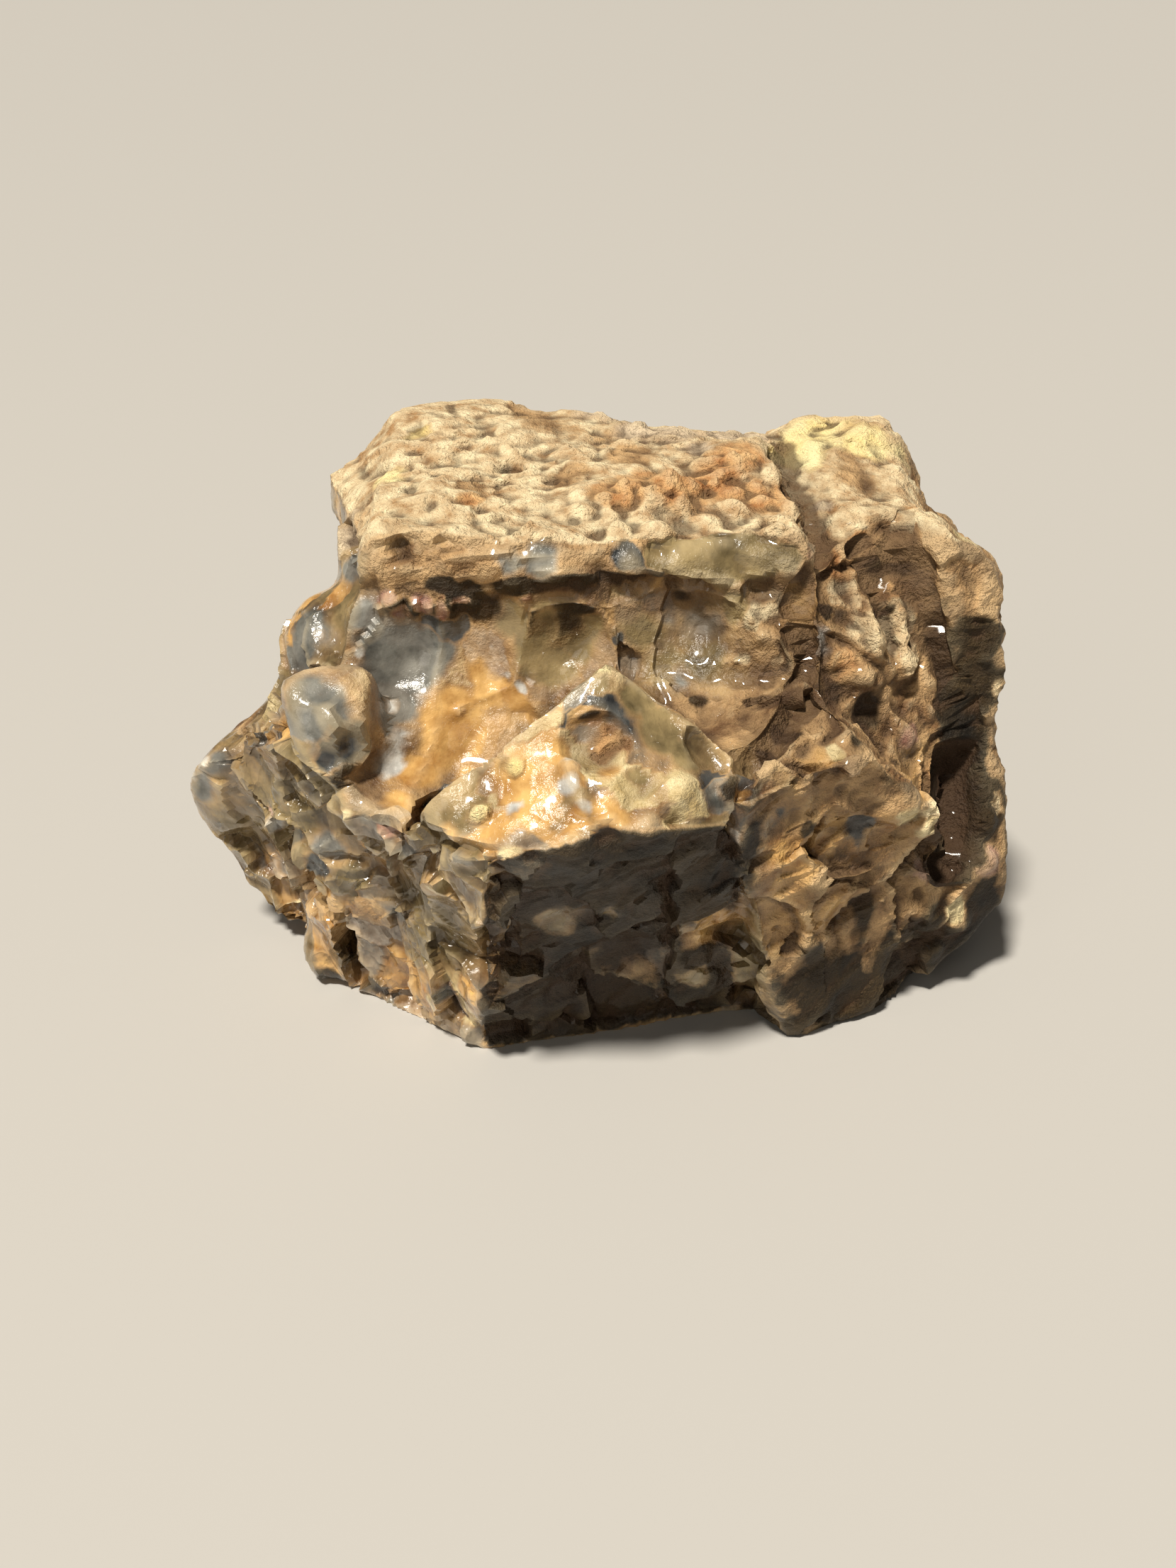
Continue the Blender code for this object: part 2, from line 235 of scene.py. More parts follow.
def nearest_seed(p, size):
    """Distance to the nearest of one seed in each cell of the lattice, in cells."""
    q = p / size
    low = np.floor(q)
    best = np.full(len(p), 9.0)
    for step in np.ndindex(3, 3, 3):
        cell = low + np.array(step) - 1
        seed = cell + 0.15 + 0.7 * SCATTER[corner_number(cell)]
        best = np.minimum(best, ((q - seed) ** 2).sum(axis=1))
    return np.sqrt(best)


def grains(p, size):
    """Round grains: one less twice the squared distance to the nearest seed, above zero."""
    return np.clip(1 - 2 * nearest_seed(p, size) ** 2, 0, 1)


def broken(p, size, tilt):
    """Flat shards: a point belongs to the nearest seed, whose shard is a plane with its own lean and
    step, tilt * lean . offset + step. Gives the height in mm and one number for each shard."""
    q = p / size
    low = np.floor(q)
    best, height, tint = np.full(len(p), 9.0), np.zeros(len(p)), np.zeros(len(p))
    for step in np.ndindex(3, 3, 3):
        cell = low + np.array(step) - 1
        number = corner_number(cell)
        offset = q - cell - 0.15 - 0.7 * SCATTER[number]
        away = (offset**2).sum(axis=1)
        plane = tilt * (SLOPES[number, 0] * offset).sum(axis=1) + 0.2 * (SCATTER[number, 2] - 0.5)
        nearer = away < best
        best = np.where(nearer, away, best)
        height = np.where(nearer, plane, height)
        tint = np.where(nearer, SCATTER[number, 1], tint)
    return size * height, tint


print("noise at the origin", sway(np.zeros((1, 3)) + 3.7, 9.0).round(3))

# %% [markdown]
# ## Shapes as distances
# A stone breaks along planes, so it is easiest to say as planes: a block is what lies behind all
# of its faces. A number for each point says how far outside it is. Two such numbers can be joined
# or cut softly, which rounds the edge between them as real breaks are rounded. The same numbers
# later tell the regions of the stone apart, with ramps from 0 to 1 between a start and an end.

# %% Blocks, eggs and rods
CHIP_SOFTNESS = 0.8     # mm, rounding of the edge between two split faces


def between(values, start, end):
    """A ramp, (value - start) / (end - start), kept from 0 to 1. The end may be below the start."""
    return np.clip((values - start) / (end - start), 0, 1)


def facing(azimuth, elevation):
    """The unit vector that looks that way: 0, 0 is the front, -Y."""
    a, e = np.radians(azimuth), np.radians(elevation)
    return np.array((np.sin(a) * np.cos(e), -np.cos(a) * np.cos(e), np.sin(e)))


def both(a, b, soft):
    """The larger of two distances, with the step between them rounded: inside both shapes."""
    h = np.clip(0.5 + 0.5 * (a - b) / soft, 0, 1)
    return b + (a - b) * h + soft * h * (1 - h)


def either(a, b, soft):
    """The smaller of two distances: inside one shape or the other."""
    return -both(-a, -b, soft)


def block(p, faces):
    """A block of rock behind all its split faces: the largest of the distances ahead of them."""
    inside = None
    for at, azimuth, elevation in faces:
        ahead = (p - np.array(at, float)) @ facing(azimuth, elevation)
        inside = ahead if inside is None else both(inside, ahead, CHIP_SOFTNESS)
    return inside


def egg(p, centre, radii):
    """A ball, or an egg with three radii: the scaled length less one, turned back to mm."""
    radii = np.broadcast_to(np.array(radii, float), (3,))
    q = (p - np.array(centre, float)) / radii
    scaled = np.linalg.norm(q, axis=1)
    return scaled * (scaled - 1) / (np.linalg.norm(q / radii, axis=1) + 1e-9)


def rods(p, path, radius):
    """The distance to the nearest point of a path, less the radius."""
    near = np.full(len(p), 1e9)
    for a, b in zip(np.array(path[:-1], float), np.array(path[1:], float)):
        along = np.clip((p - a) @ (b - a) / ((b - a) @ (b - a)), 0, 1)
        near = np.minimum(near, np.linalg.norm(p - a - along[:, None] * (b - a), axis=1))
    return near - radius


def reached(p, places):
    """The strongest claim of any place: one less the distance divided by its reach."""
    best = np.full(len(p), -1.0)
    for x, y, z, reach in places:
        best = np.maximum(best, 1 - np.linalg.norm(p - (x, y, z), axis=1) / reach)
    return best


print("the front looks", facing(0, 0).round(2))

# %% [markdown]
# ## The split faces
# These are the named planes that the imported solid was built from, in millimetres. Each face is a
# point on it, then the way it looks: degrees round from the front towards the right, and degrees
# up. Repeating them keeps the new skin on the solid. The skin can afford a little more, so the
# glassy knob at the left, an egg in the solid, has flat faces here.

# %% List the split faces
LEFT_FLANK = ((-16, -45, 28), -40, -16)
UNDER_FACE = ((0, -50, 50), 14, -24)
RIGHT_FLANK = ((39, -27, 0), 27, -9)
COLUMN_FACE = ((41, -13, 72), 40, 25)
RIGHT_SIDE = ((73.6, 12, 50), 94, 4)
RIGHT_HEEL = ((76, 8, 8), 70, -42)
GROUND_MIDDLE = ((0, 0, 0), 0, -90)
PROW_TIP = (3, -33, 79)
BODY = [
    LEFT_FLANK, UNDER_FACE, RIGHT_FLANK, COLUMN_FACE, RIGHT_SIDE, RIGHT_HEEL,
    ((-27, 0, 0), -90, -87), ((50, 0, 0), 80, -83), ((0, 14, 0), 180, -80),
    ((-76, 3, 33), -100, -20), ((-74.7, 4, 40.7), -85, 46), ((-57, 25, 53), -106, 30),
    ((-58, 38, 30), -140, -4), ((0, 52, 40), 178, 3), ((62, 44, 40), 135, 0),
    ((0, 46, 10), 180, -42), ((-33, -43.5, 61), -8, 65), ((30, -22, 66), -5, 66),
    ((70, 30, 71), 95, 50), ((0, 30, 84), 0, 84),
]
RIGHT_SLAB = [
    RIGHT_FLANK, RIGHT_SIDE, RIGHT_HEEL, GROUND_MIDDLE, ((25, -18, 0), -42, -23),
    ((24.4, -46, 56), 8, 58), ((52, -29, 54), 98, 40), ((25, -24, 68), -150, 38),
    ((8, -30, 60), -85, 20),
]
HEAD = [
    ((-38, -13, 89), 0, 82), ((31, 45, 91), 135, 80), ((-42, 35, 91.3), -78, 50),
    ((-39.6, -13, 82), -78, 10), ((-20, -13, 85), -3, 4), ((32, -12, 82), 5, 30),
    ((36, 20, 80), 96, 2), ((-50, 30, 85), -120, 8), ((-32, 48, 80), -150, 8),
    ((0, 52, 80), 180, 8), ((0, 0, 40), 0, -90),
]
SHOULDER = [
    COLUMN_FACE, ((46, 40, 93.3), 10, 80), ((33.5, 44, 90.1), -70, 60), ((40, 0, 88), 14, 62),
    ((61.6, 25, 86.7), 75, 48), ((63, 25, 84), 82, 14), ((36, 0, 85), -88, -3),
    ((50, 50, 80), 180, 12), ((66, 44, 70), 130, 10), ((0, 0, 35), 0, -90),
]
RIM = [
    RIGHT_HEEL, ((74.4, 6, 50), 92, 3), ((66, 6, 83.5), 100, 59), ((70, 6, 81), 95, 20),
    ((70, -4, 50), 12, 6), ((78, 40, 50), 130, 0), ((60, 34, 50), 180, 5),
    ((60, 20, 80), -90, -15), ((0, 0, 4), 0, -90),
]
PROW = [
    UNDER_FACE, LEFT_FLANK, GROUND_MIDDLE, (PROW_TIP, -14, 43), (PROW_TIP, 30, 40),
    (PROW_TIP, -125, 38), (PROW_TIP, 120, 41), (PROW_TIP, 180, 50), ((21, -47, 57), 72, 10),
]
GLASSY_KNOB = [
    ((-42.4, -33, 62), -12, 2), ((-37.4, -31.8, 63), 38, 4), ((-34.8, -27, 63), 84, 6),
    ((-47.4, -30, 62), -62, 4), ((-43.4, -31.2, 67.4), -26, 42), ((-38.4, -29.4, 67.8), 50, 44),
    ((-42, -24, 70.6), 10, 78), ((-42.5, -32.2, 56.5), -18, -44), ((-37.6, -30.8, 56.6), 44, -44),
    ((-46.4, -28, 58), -66, -36), ((-35.6, -27, 58), 88, -40), ((-41, -19, 62), 180, 10),
]
print("faces", {"body": len(BODY), "head": len(HEAD), "prow": len(PROW), "knob": len(GLASSY_KNOB)})

# %% [markdown]
# ## Hollows, lumps and seams
# Where a blow took a shell-shaped piece off, an egg is cut out of the blocks: its middle, then one
# radius or three. A lump is an egg that is added. The channel on the right, the seam under the
# crust and the crack beside the column follow paths of points, and so do the narrow gaps between
# the slabs, which only the skin has.

# %% List the hollows, lumps and seams
MAIN_HOLLOW = ((-21, -35.5, 75), (31, 23.2, 25))
SECOND_HOLLOW = ((15, -29.5, 79), (21, 17, 17))
PROW_PIT = ((1.2, -43.6, 69.6), (6.4, 5.6, 5.0))
BACK_HOLLOWS = [
    ((-30, 88, 70), 44), ((34, 92, 40), 50), ((-84, 40, 18), 30), ((96, 44, 66), 30),
    ((2, 74, 118), 38), ((-6, 66, 6), 26),
]
SIDE_LUMPS = [((-46, 3, 62), (9.5, 10, 13)), ((-50, -6, 6), (8, 6, 6))]
SCALLOPS = [((-5, -37.6, 72), (22, 25, 18.5)), ((-31, -29, 72), (18, 18, 14))]
BACK_LUMPS = [((14, 48, 52), (20, 7, 15)), ((-40, 40, 62), (13, 8, 12)),
              ((56, 34, 30), (14, 12, 16))]
GROOVE = [(57.5, 6.5, 80), (62.5, 4, 69), (65, 1, 59), (66.5, -3, 49), (66.5, -11, 38),
          (66.5, -17, 31.5)]
GROOVE_RADIUS = 4.6
SEAM = [(-40, -14, 80), (-15, -14.5, 79.5), (10, -13.5, 81.6), (33, -13, 82.6)]
SEAM_RADIUS, THIN_SEAM_RADIUS = 1.9, 0.9
CRACK = [(34, 40, 90), (37.5, 0, 90), (37, -9, 84), (35, -13, 79), (34.5, -15.5, 74.5),
         (36.5, -18.5, 69)]
CRACK_RADIUS = 1.5
GAPS = [        # path and radius: between the slabs, beside the prow, between the column's ribs
    ([(35, -25, 68.5), (31, -31, 65.5), (27, -36.5, 62.5), (24.5, -42, 59.5)], 1.7),
    ([(18.5, -38, 65.5), (20.5, -41.5, 62), (22, -45.5, 58)], 2.4),
    ([(48.5, 1.5, 83.5), (50.5, -1, 79), (50.5, -4, 74), (52, -6.5, 68)], 1.8),
]
print(len(SCALLOPS), "scallops,", len(BACK_HOLLOWS), "scoops at the hidden sides,", len(GAPS), "gaps")

# %% [markdown]
# ## The whole stone as one number
# Now the lists are added up, in an order that matters. Blocks are joined and lumps added, and then
# the hollows are cut. The prow stands in the main hollow, so it comes after it, with its pit and
# the knob, and the narrow cuts go through all of them. Before that, every point is moved a little
# by long and short waves, so that no face is flat and no edge straight. The way out of the stone
# is the slope of this number.

# %% Add the shapes up
HEART = np.array((0.0, 2.0, 42.0))      # deep inside, where the net's straight lines meet
BEND_SIZE, BEND = 26.0, 1.5             # length and height of the long waves in every face
WAVE_SIZE, WAVE = 9.0, 0.5              # and of the short ones


def bending(p):
    """How far the rock's planes are bent at each point: long waves and short ones."""
    return BEND * sway(p, BEND_SIZE) + WAVE * sway(p + 31, WAVE_SIZE)


def stone(p, bend=None):
    """Distance outside the stone: blocks joined, then hollows, groove and seams cut away."""
    q = p + (bending(p) if bend is None else bend)
    f = block(q, BODY)
    for faces, soft in ((RIGHT_SLAB, 1.0), (HEAD, 1.0), (SHOULDER, 1.5), (RIM, 1.0)):
        f = either(f, block(q, faces), soft)
    for centre, radii in BACK_LUMPS + SIDE_LUMPS:
        f = either(f, egg(q, centre, radii), 4.0)
    for centre, radius in BACK_HOLLOWS:
        f = both(f, -egg(q, centre, radius), 0.8)
    for centre, radii in (MAIN_HOLLOW, SECOND_HOLLOW, *SCALLOPS):
        f = both(f, -egg(q, centre, radii), 0.6)
    f = either(f, block(q, PROW), 1.6)
    f = both(f, -egg(q, *PROW_PIT), 1.2)
    f = either(f, block(q, GLASSY_KNOB), 2.5)
    f = both(f, -rods(q, GROOVE, GROOVE_RADIUS), 0.8)
    f = both(f, -rods(q, SEAM[:3], SEAM_RADIUS), 1.2)
    f = both(f, -rods(q, SEAM[2:], THIN_SEAM_RADIUS), 1.2)
    f = both(f, -rods(q, CRACK, CRACK_RADIUS), 1.0)
    for path, radius in GAPS:
        f = both(f, -rods(q, path, radius), 1.2)
    return both(f, -p[:, 2], 0.1)


def outward(p):
    """The way out of the stone at each point, which is the slope of its distance, and how far out
    the point is. The slope is measured over a small step in mm along each axis."""
    step = 0.25
    bend = bending(p)
    here = stone(p, bend)
    slope = np.stack([stone(p + step * axis, bend) - here for axis in np.eye(3)], axis=1) / step
    steep = np.linalg.norm(slope, axis=1)[:, None] + 1e-9
    return slope / steep, here / steep[:, 0]


print("the heart lies", round(float(-stone(HEART[None])[0]), 1), "mm inside")

# %% [markdown]
# ## A net shrunk on to the stone
# The skin is a net of squares. It starts as a cube whose six sides are grids of two parameters, so
# it is closed and has no poles, where a globe's net would bunch up. Two nets are made: a coarse
# one, which is quick to lay on the stone, and a fine one with four squares along each of its sides.

# %% Make the cube's nets
COARSE, FINE = 32, 128      # squares along a side of the cube; 12 * FINE**2 triangles in the end


def cube_net(n):
    """Six grids of corner numbers. On each, a and b run from 0 to n along two axes while the third
    stays at 0 or n; corners that two sides share get one number."""
    a, b = np.meshgrid(np.arange(n + 1), np.arange(n + 1), indexing="ij")
    sides = []
    for axis in range(3):
        for end, (first, second) in ((n, (a, b)), (0, (b, a))):
            corner = np.empty((n + 1, n + 1, 3), int)
            corner[..., axis] = end
            corner[..., (axis + 1) % 3] = first
            corner[..., (axis + 2) % 3] = second
            sides.append(corner)
    sides = np.stack(sides)
    keys = (sides * ((n + 1) ** 2, n + 1, 1)).sum(axis=-1)
    _, first_seen, number = np.unique(keys, return_index=True, return_inverse=True)
    corners = sides.reshape(-1, 3)[first_seen] * 2 / n - 1
    return corners, number.reshape(keys.shape)


def net_quads(number):
    """The squares of the six grids, turned to face outwards."""
    around = (number[:, :-1, :-1], number[:, 1:, :-1], number[:, 1:, 1:], number[:, :-1, 1:])
    return np.stack(around, axis=-1).reshape(-1, 4)


def net_edges(quads):
    """Each edge of the net once."""
    pairs = np.vstack([quads[:, [i, (i + 1) % 4]] for i in range(4)])
    return np.unique(np.sort(pairs, axis=1), axis=0)


cube, coarse_number = cube_net(COARSE)
_, fine_number = cube_net(FINE)
quads = net_quads(fine_number)
edges = net_edges(quads)
print(len(quads), "squares with", len(edges), "edges")

# %% [markdown]
# ## The net, shrunk on to the stone
# The coarse net is blown up to a ball and walks in along straight lines until it meets the stone.
# It is then divided, and both nets are evened out and dropped back on the surface a few times, so
# that the squares stay alike in size.

# %% Shrink the net on to the stone
COARSE_ROUNDS, FINE_ROUNDS = 14, 4      # how often each net is evened out
BALL_RADIUS = 130.0             # the ball that the walk starts from, well outside the stone
STEPS, STRIDE = 90, 0.7         # steps of the walk, and the part of the distance that one step takes
STONE_SHAPE = (1.25, 0.9, 0.85)         # the stone is longer than it is deep or high
LONGEST_MOVE = 2.0              # mm that a vertex may be dropped at once


def neighbour_mean(values, edges):
    """For each vertex, the mean of its neighbours' values."""
    count = len(values)
    total = np.zeros(values.shape)
    columns = values.reshape(count, -1)
    sums = total.reshape(count, -1)
    for i in range(columns.shape[1]):
        for one, other in ((0, 1), (1, 0)):
            sums[:, i] += np.bincount(edges[:, one], columns[edges[:, other], i], count)
    return (sums / np.bincount(edges.ravel(), minlength=count)[:, None]).reshape(values.shape)


def ways_out(p, quads):
    """For each vertex, the sum of the crossed diagonals of the squares round it, made one long."""
    across = np.cross(p[quads[:, 2]] - p[quads[:, 0]], p[quads[:, 3]] - p[quads[:, 1]])
    corners = quads.ravel()
    total = np.stack([np.bincount(corners, np.repeat(across[:, i], 4), len(p)) for i in range(3)],
                     axis=1)
    return total / (np.linalg.norm(total, axis=1)[:, None] + 1e-12)


def smooth_ways(p, quads, edges):
    """The ways out, evened over the neighbours twice, so that a crease has no crossed arrows."""
    out = ways_out(p, quads)
    for _ in range(2):
        out = 0.5 * out + 0.5 * neighbour_mean(out, edges)
    return out / np.linalg.norm(out, axis=1)[:, None]


def shrink(ways):
    """Walks in from the big ball to the surface along each way."""
    reach = np.full(len(ways), BALL_RADIUS)
    for _ in range(STEPS):
        reach -= STRIDE * stone(HEART + reach[:, None] * ways)
    return HEART + reach[:, None] * ways


def settle(p, edges, rounds):
    """Moves each vertex half way to its neighbours' mean, then back on to the surface."""
    for _ in range(rounds):
        p = 0.5 * p + 0.5 * neighbour_mean(p, edges)
        out, ahead = outward(p)
        p = p - out * np.clip(ahead, -LONGEST_MOVE, LONGEST_MOVE)[:, None]
    return p


def refined(p, coarse_number, fine_number):
    """Between the corners of a coarse square, the mean of its four corners weighted by nearness."""
    n, m = fine_number.shape[1] - 1, coarse_number.shape[1] - 1
    t = np.arange(n + 1) * m / n
    low = np.minimum(t.astype(int), m - 1)
    part = t - low
    grid = p[coarse_number]
    rows = grid[:, low] * (1 - part)[:, None, None] + grid[:, low + 1] * part[:, None, None]
    full = rows[:, :, low] * (1 - part)[:, None] + rows[:, :, low + 1] * part[:, None]
    fine = np.empty((fine_number.max() + 1, 3))
    fine[fine_number] = full
    return fine


ways = np.tan(cube * np.pi / 4) * STONE_SHAPE
ways /= np.linalg.norm(ways, axis=1)[:, None]
coarse = settle(shrink(ways), net_edges(net_quads(coarse_number)), COARSE_ROUNDS)
skin = settle(refined(coarse, coarse_number, fine_number), edges, FINE_ROUNDS)
out, ahead = outward(skin)
skin -= out * ahead[:, None]
out = smooth_ways(skin, quads, edges)
face_way = out
print(len(skin), "vertices,", 2 * len(quads), "triangles, off the surface by",
      round(float(np.abs(ahead).max()), 3), "mm at most")

# %% [markdown]
# ## Shell-shaped scars
# Agate has no grain to split along. A blow takes off a shell-shaped flake and leaves a shallow dish
# with a crisp rim, and dish upon dish makes the sparkling, knapped look. Cutting hundreds of balls
# out of a mesh would be slow and could fail. Here each scar is the cap of a ball that hangs over
# the face, and points under it are pushed in. Which scar is deepest at a point is kept too,
# because each break shows a slightly different tint of the stone.

# %% Strike the scars
BROAD_SCARS = {"seed": 5, "count": 70, "sizes": (14, 30), "depths": (0.9, 2.0)}
SMALL_SCARS = {"seed": 8, "count": 160, "sizes": (7, 14), "depths": (0.6, 1.4)}


def struck(p, out, centres, leans, radii, sinks):
    """With q the offset from a ball's centre and R its radius, a point goes in by
    q.out + sqrt((q.out)^2 + R^2 - |q|^2). The deepest ball wins, and its number is kept."""
    depth = np.zeros(len(p))
    which = np.full(len(p), -1)
    for number, (centre, lean, radius, sink) in enumerate(zip(centres, leans, radii, sinks)):
        middle = centre + lean * (radius - sink)
        near = np.flatnonzero(((p - middle) ** 2).sum(axis=1) < radius**2)
        q = p[near] - middle
        along = (q * out[near]).sum(axis=1)
        cut = along + np.sqrt(along**2 + radius**2 - (q**2).sum(axis=1))
        cut = np.minimum(cut, 1.5 * sink)
        deeper = cut > depth[near]
        depth[near[deeper]] = cut[deeper]
        which[near[deeper]] = number
    return depth, which


def scars(p, out, seed, count, sizes, depths):
    """Scars all over the stone, struck where seeded rays meet it."""
    draw = np.random.RandomState(seed)
    rays = draw.normal(size=(count, 3))
    centres = shrink(rays / np.linalg.norm(rays, axis=1)[:, None])
    leans = outward(centres)[0] + 0.25 * draw.normal(size=(count, 3))
    leans /= np.linalg.norm(leans, axis=1)[:, None]
    radii_and_sinks = np.array([(draw.uniform(*sizes), draw.uniform(*depths)) for _ in centres])
    return struck(p, out, centres, leans, *radii_and_sinks.T)


broad_depth, _ = scars(skin, out, **BROAD_SCARS)
small_depth, _ = scars(skin, out, **SMALL_SCARS)
print("deepest scar", max(broad_depth.max(), small_depth.max()).round(2), "mm")

# %% [markdown]
# ## Crust
# The top and the far right of the stone are its old skin, which is sandstone-like and lumpy and
# shows few scars. A smooth band of agate looks out of the crust's front wall. Some points and
# edges are spared, because no blow took them off. What is left of the scars is pressed in, the
# crust's lumps are raised, and near the ground both fade, so that the stone keeps its resting face.

# %% Press in the scars and raise the crust
CRUST_LUMP = 15.0       # mm between the broad lumps of the crust
SPARED = [      # x, y, z, reach: points and edges that no blow took off
    (-76, 3, 40, 18), (-46, 3, 66, 16), (-41, -28, 66, 9), (72, 4, 80, 12), (40, -30, 12, 12),
    (-38, -12, 88, 9), (-22, -12, 88, 9), (-6, -12, 88, 9), (10, -11, 88, 9),
    (24, -10, 88, 9), (34, -11, 88, 9), (-44, 25, 88, 12), (-30, 42, 95, 14),
]
AGATE_LENS = [  # the smooth band of agate in the crust's front wall
    (12, -10.5, 85.5, 3.4), (16, -10.5, 85.6, 5), (22, -10, 85.6, 6), (28, -10, 85.4, 5),
    (33, -9.5, 85, 3),
]


def crusty(p, out):
    """How crusty each point is, 0 to 1: the top and the right side are crust, the rest glassy."""
    top = between(p[:, 2], 83, 87) * between(out[:, 2], 0.35, 0.65)
    right = between(p[:, 0] + 0.35 * (60 - p[:, 2]), 38, 46) * between(p[:, 2], 45, 65)
    rim = between(p[:, 0], 66, 71)
    return np.maximum(np.maximum(top, right), rim)


lens = np.clip(3 * reached(skin, AGATE_LENS), 0, 1)
crust = crusty(skin, out) * (1 - lens)
on_prow = between(block(skin, PROW), 2.25, 0.75) * between(skin[:, 2], 52, 55)
spared = np.maximum(np.clip(2.2 * reached(skin, SPARED), 0, 1), np.maximum(on_prow, lens))
scarred = np.maximum(broad_depth, small_depth) * (1 - 0.8 * spared)
stirred = skin + 2.5 * sway(skin + 7, 8.0)
lumps = grains(stirred, CRUST_LUMP) * (0.6 + sway(skin, 20.0)[:, 1])
height = -scarred * (1 - 0.85 * crust) + crust * lumps + 0.5 * sway(skin, 9.0)[:, 0]
height *= np.clip(skin[:, 2] / 3, 0, 1)
skin += out * height[:, None]
out = smooth_ways(skin, quads, edges)
print("scars and lumps from", height.min().round(2), "to", height.max().round(2), "mm")

# %% [markdown]
# ## Regions
# Some looks belong to a whole side of the stone. Each region is a number from 0 to 1 at every
# point, found from where the point lies and which way its split face looks: the right third, the
# overhanging front, the left flank, the smooth walls of the hollows, and the satin second hollow.

# %% Tell the regions apart
right = between(skin[:, 0], 24, 32)
overhang = face_way @ facing(14, -24) + 0.10 * sway(skin, 7.0)[:, 0]
overhang = between(overhang, 0.82, 0.92) * (1 - right)
flank = between(face_way @ facing(-45, -10), 0.72, 0.87) * (skin[:, 2] < 62)
satin = between(egg(skin, *SECOND_HOLLOW), 4.2, 1.2) * (1 - on_prow)
in_hollow = np.zeros(len(skin))
for centre, radii in (MAIN_HOLLOW, SECOND_HOLLOW, *SCALLOPS):
    near = between(egg(skin, centre, np.array(radii) + 1), 4.2, 1.2)
    in_hollow = np.maximum(in_hollow, near)
in_hollow *= (skin[:, 2] > 50) * between(block(skin, PROW), -1, 1)
for name, region in (("crust", crust), ("right", right), ("overhang", overhang),
                     ("flank", flank), ("hollows", in_hollow)):
    print(f"{name:9s}{100 * region.mean():5.1f} % of the skin")

# %% [markdown]
# ## Shards
# Where the stone is glassy it is knapped into shards as long as a fingernail, longest up and down.
# Two things make them: shell-shaped scars, and flat shards that lean against each other, big ones
# with little ones on them. They come before the colours, because each shard laid bare another part
# of the agate, and so has a colour of its own. The hollow broke in a few big smooth shells and
# keeps almost none.

# %% Knap the shards
LONG_WAY = (1, 1, 0.62)         # less than one makes a shard longer that way
STRUCK_SHARDS = {"seed": 20, "count": 400, "sizes": (8, 20), "depths": (1.0, 2.8),
                 "stretch": LONG_WAY, "lean": 0.55}
BIG_SHARD, BIG_TILT = 13.0, 0.40        # mm, and how steeply the flat shards lean
LITTLE_SHARD, LITTLE_TILT = 7.0, 0.36


def flakes(p, out, seed, weight, count, sizes, depths, stretch=(1, 1, 1), lean=0.35):
    """Scars struck at vertices drawn with the given weights; a stretch under 1 makes them longer."""
    draw = np.random.RandomState(seed)
    at = draw.choice(len(p), count, p=weight / weight.sum())
    leans = out[at] + lean * draw.normal(size=(count, 3))
    leans /= np.linalg.norm(leans, axis=1)[:, None]
    p = p * stretch
    return struck(p, out, p[at], leans, draw.uniform(*sizes, count), draw.uniform(*depths, count))


knappable = (1 - crust) * (1 - 0.9 * in_hollow) * (1 - 0.35 * right) * (1 - 0.4 * overhang)
knappable *= (1 - 0.3 * flank) * (1 - 0.75 * spared)
stirred = skin + 1.3 * sway(skin + 5, 5.0)
shard_depth, shard_which = flakes(stirred, out, weight=knappable + 0.01, **STRUCK_SHARDS)
big_shards, shard_tint = broken(stirred * LONG_WAY, BIG_SHARD, BIG_TILT)
little_shards, little_tint = broken((stirred + 40) * LONG_WAY, LITTLE_SHARD, LITTLE_TILT)
chunky = (flank + 0.6 * (1 - flank)) * (1 - crust) * (1 - 0.95 * in_hollow) * (1 - 0.8 * spared)
chunks = chunky * (big_shards + 0.35 * little_shards)
shard_tint = np.where(little_tint > 0.6, little_tint * shard_tint, shard_tint)
print("shards lean from", chunks.min().round(2), "to", chunks.max().round(2), "mm")
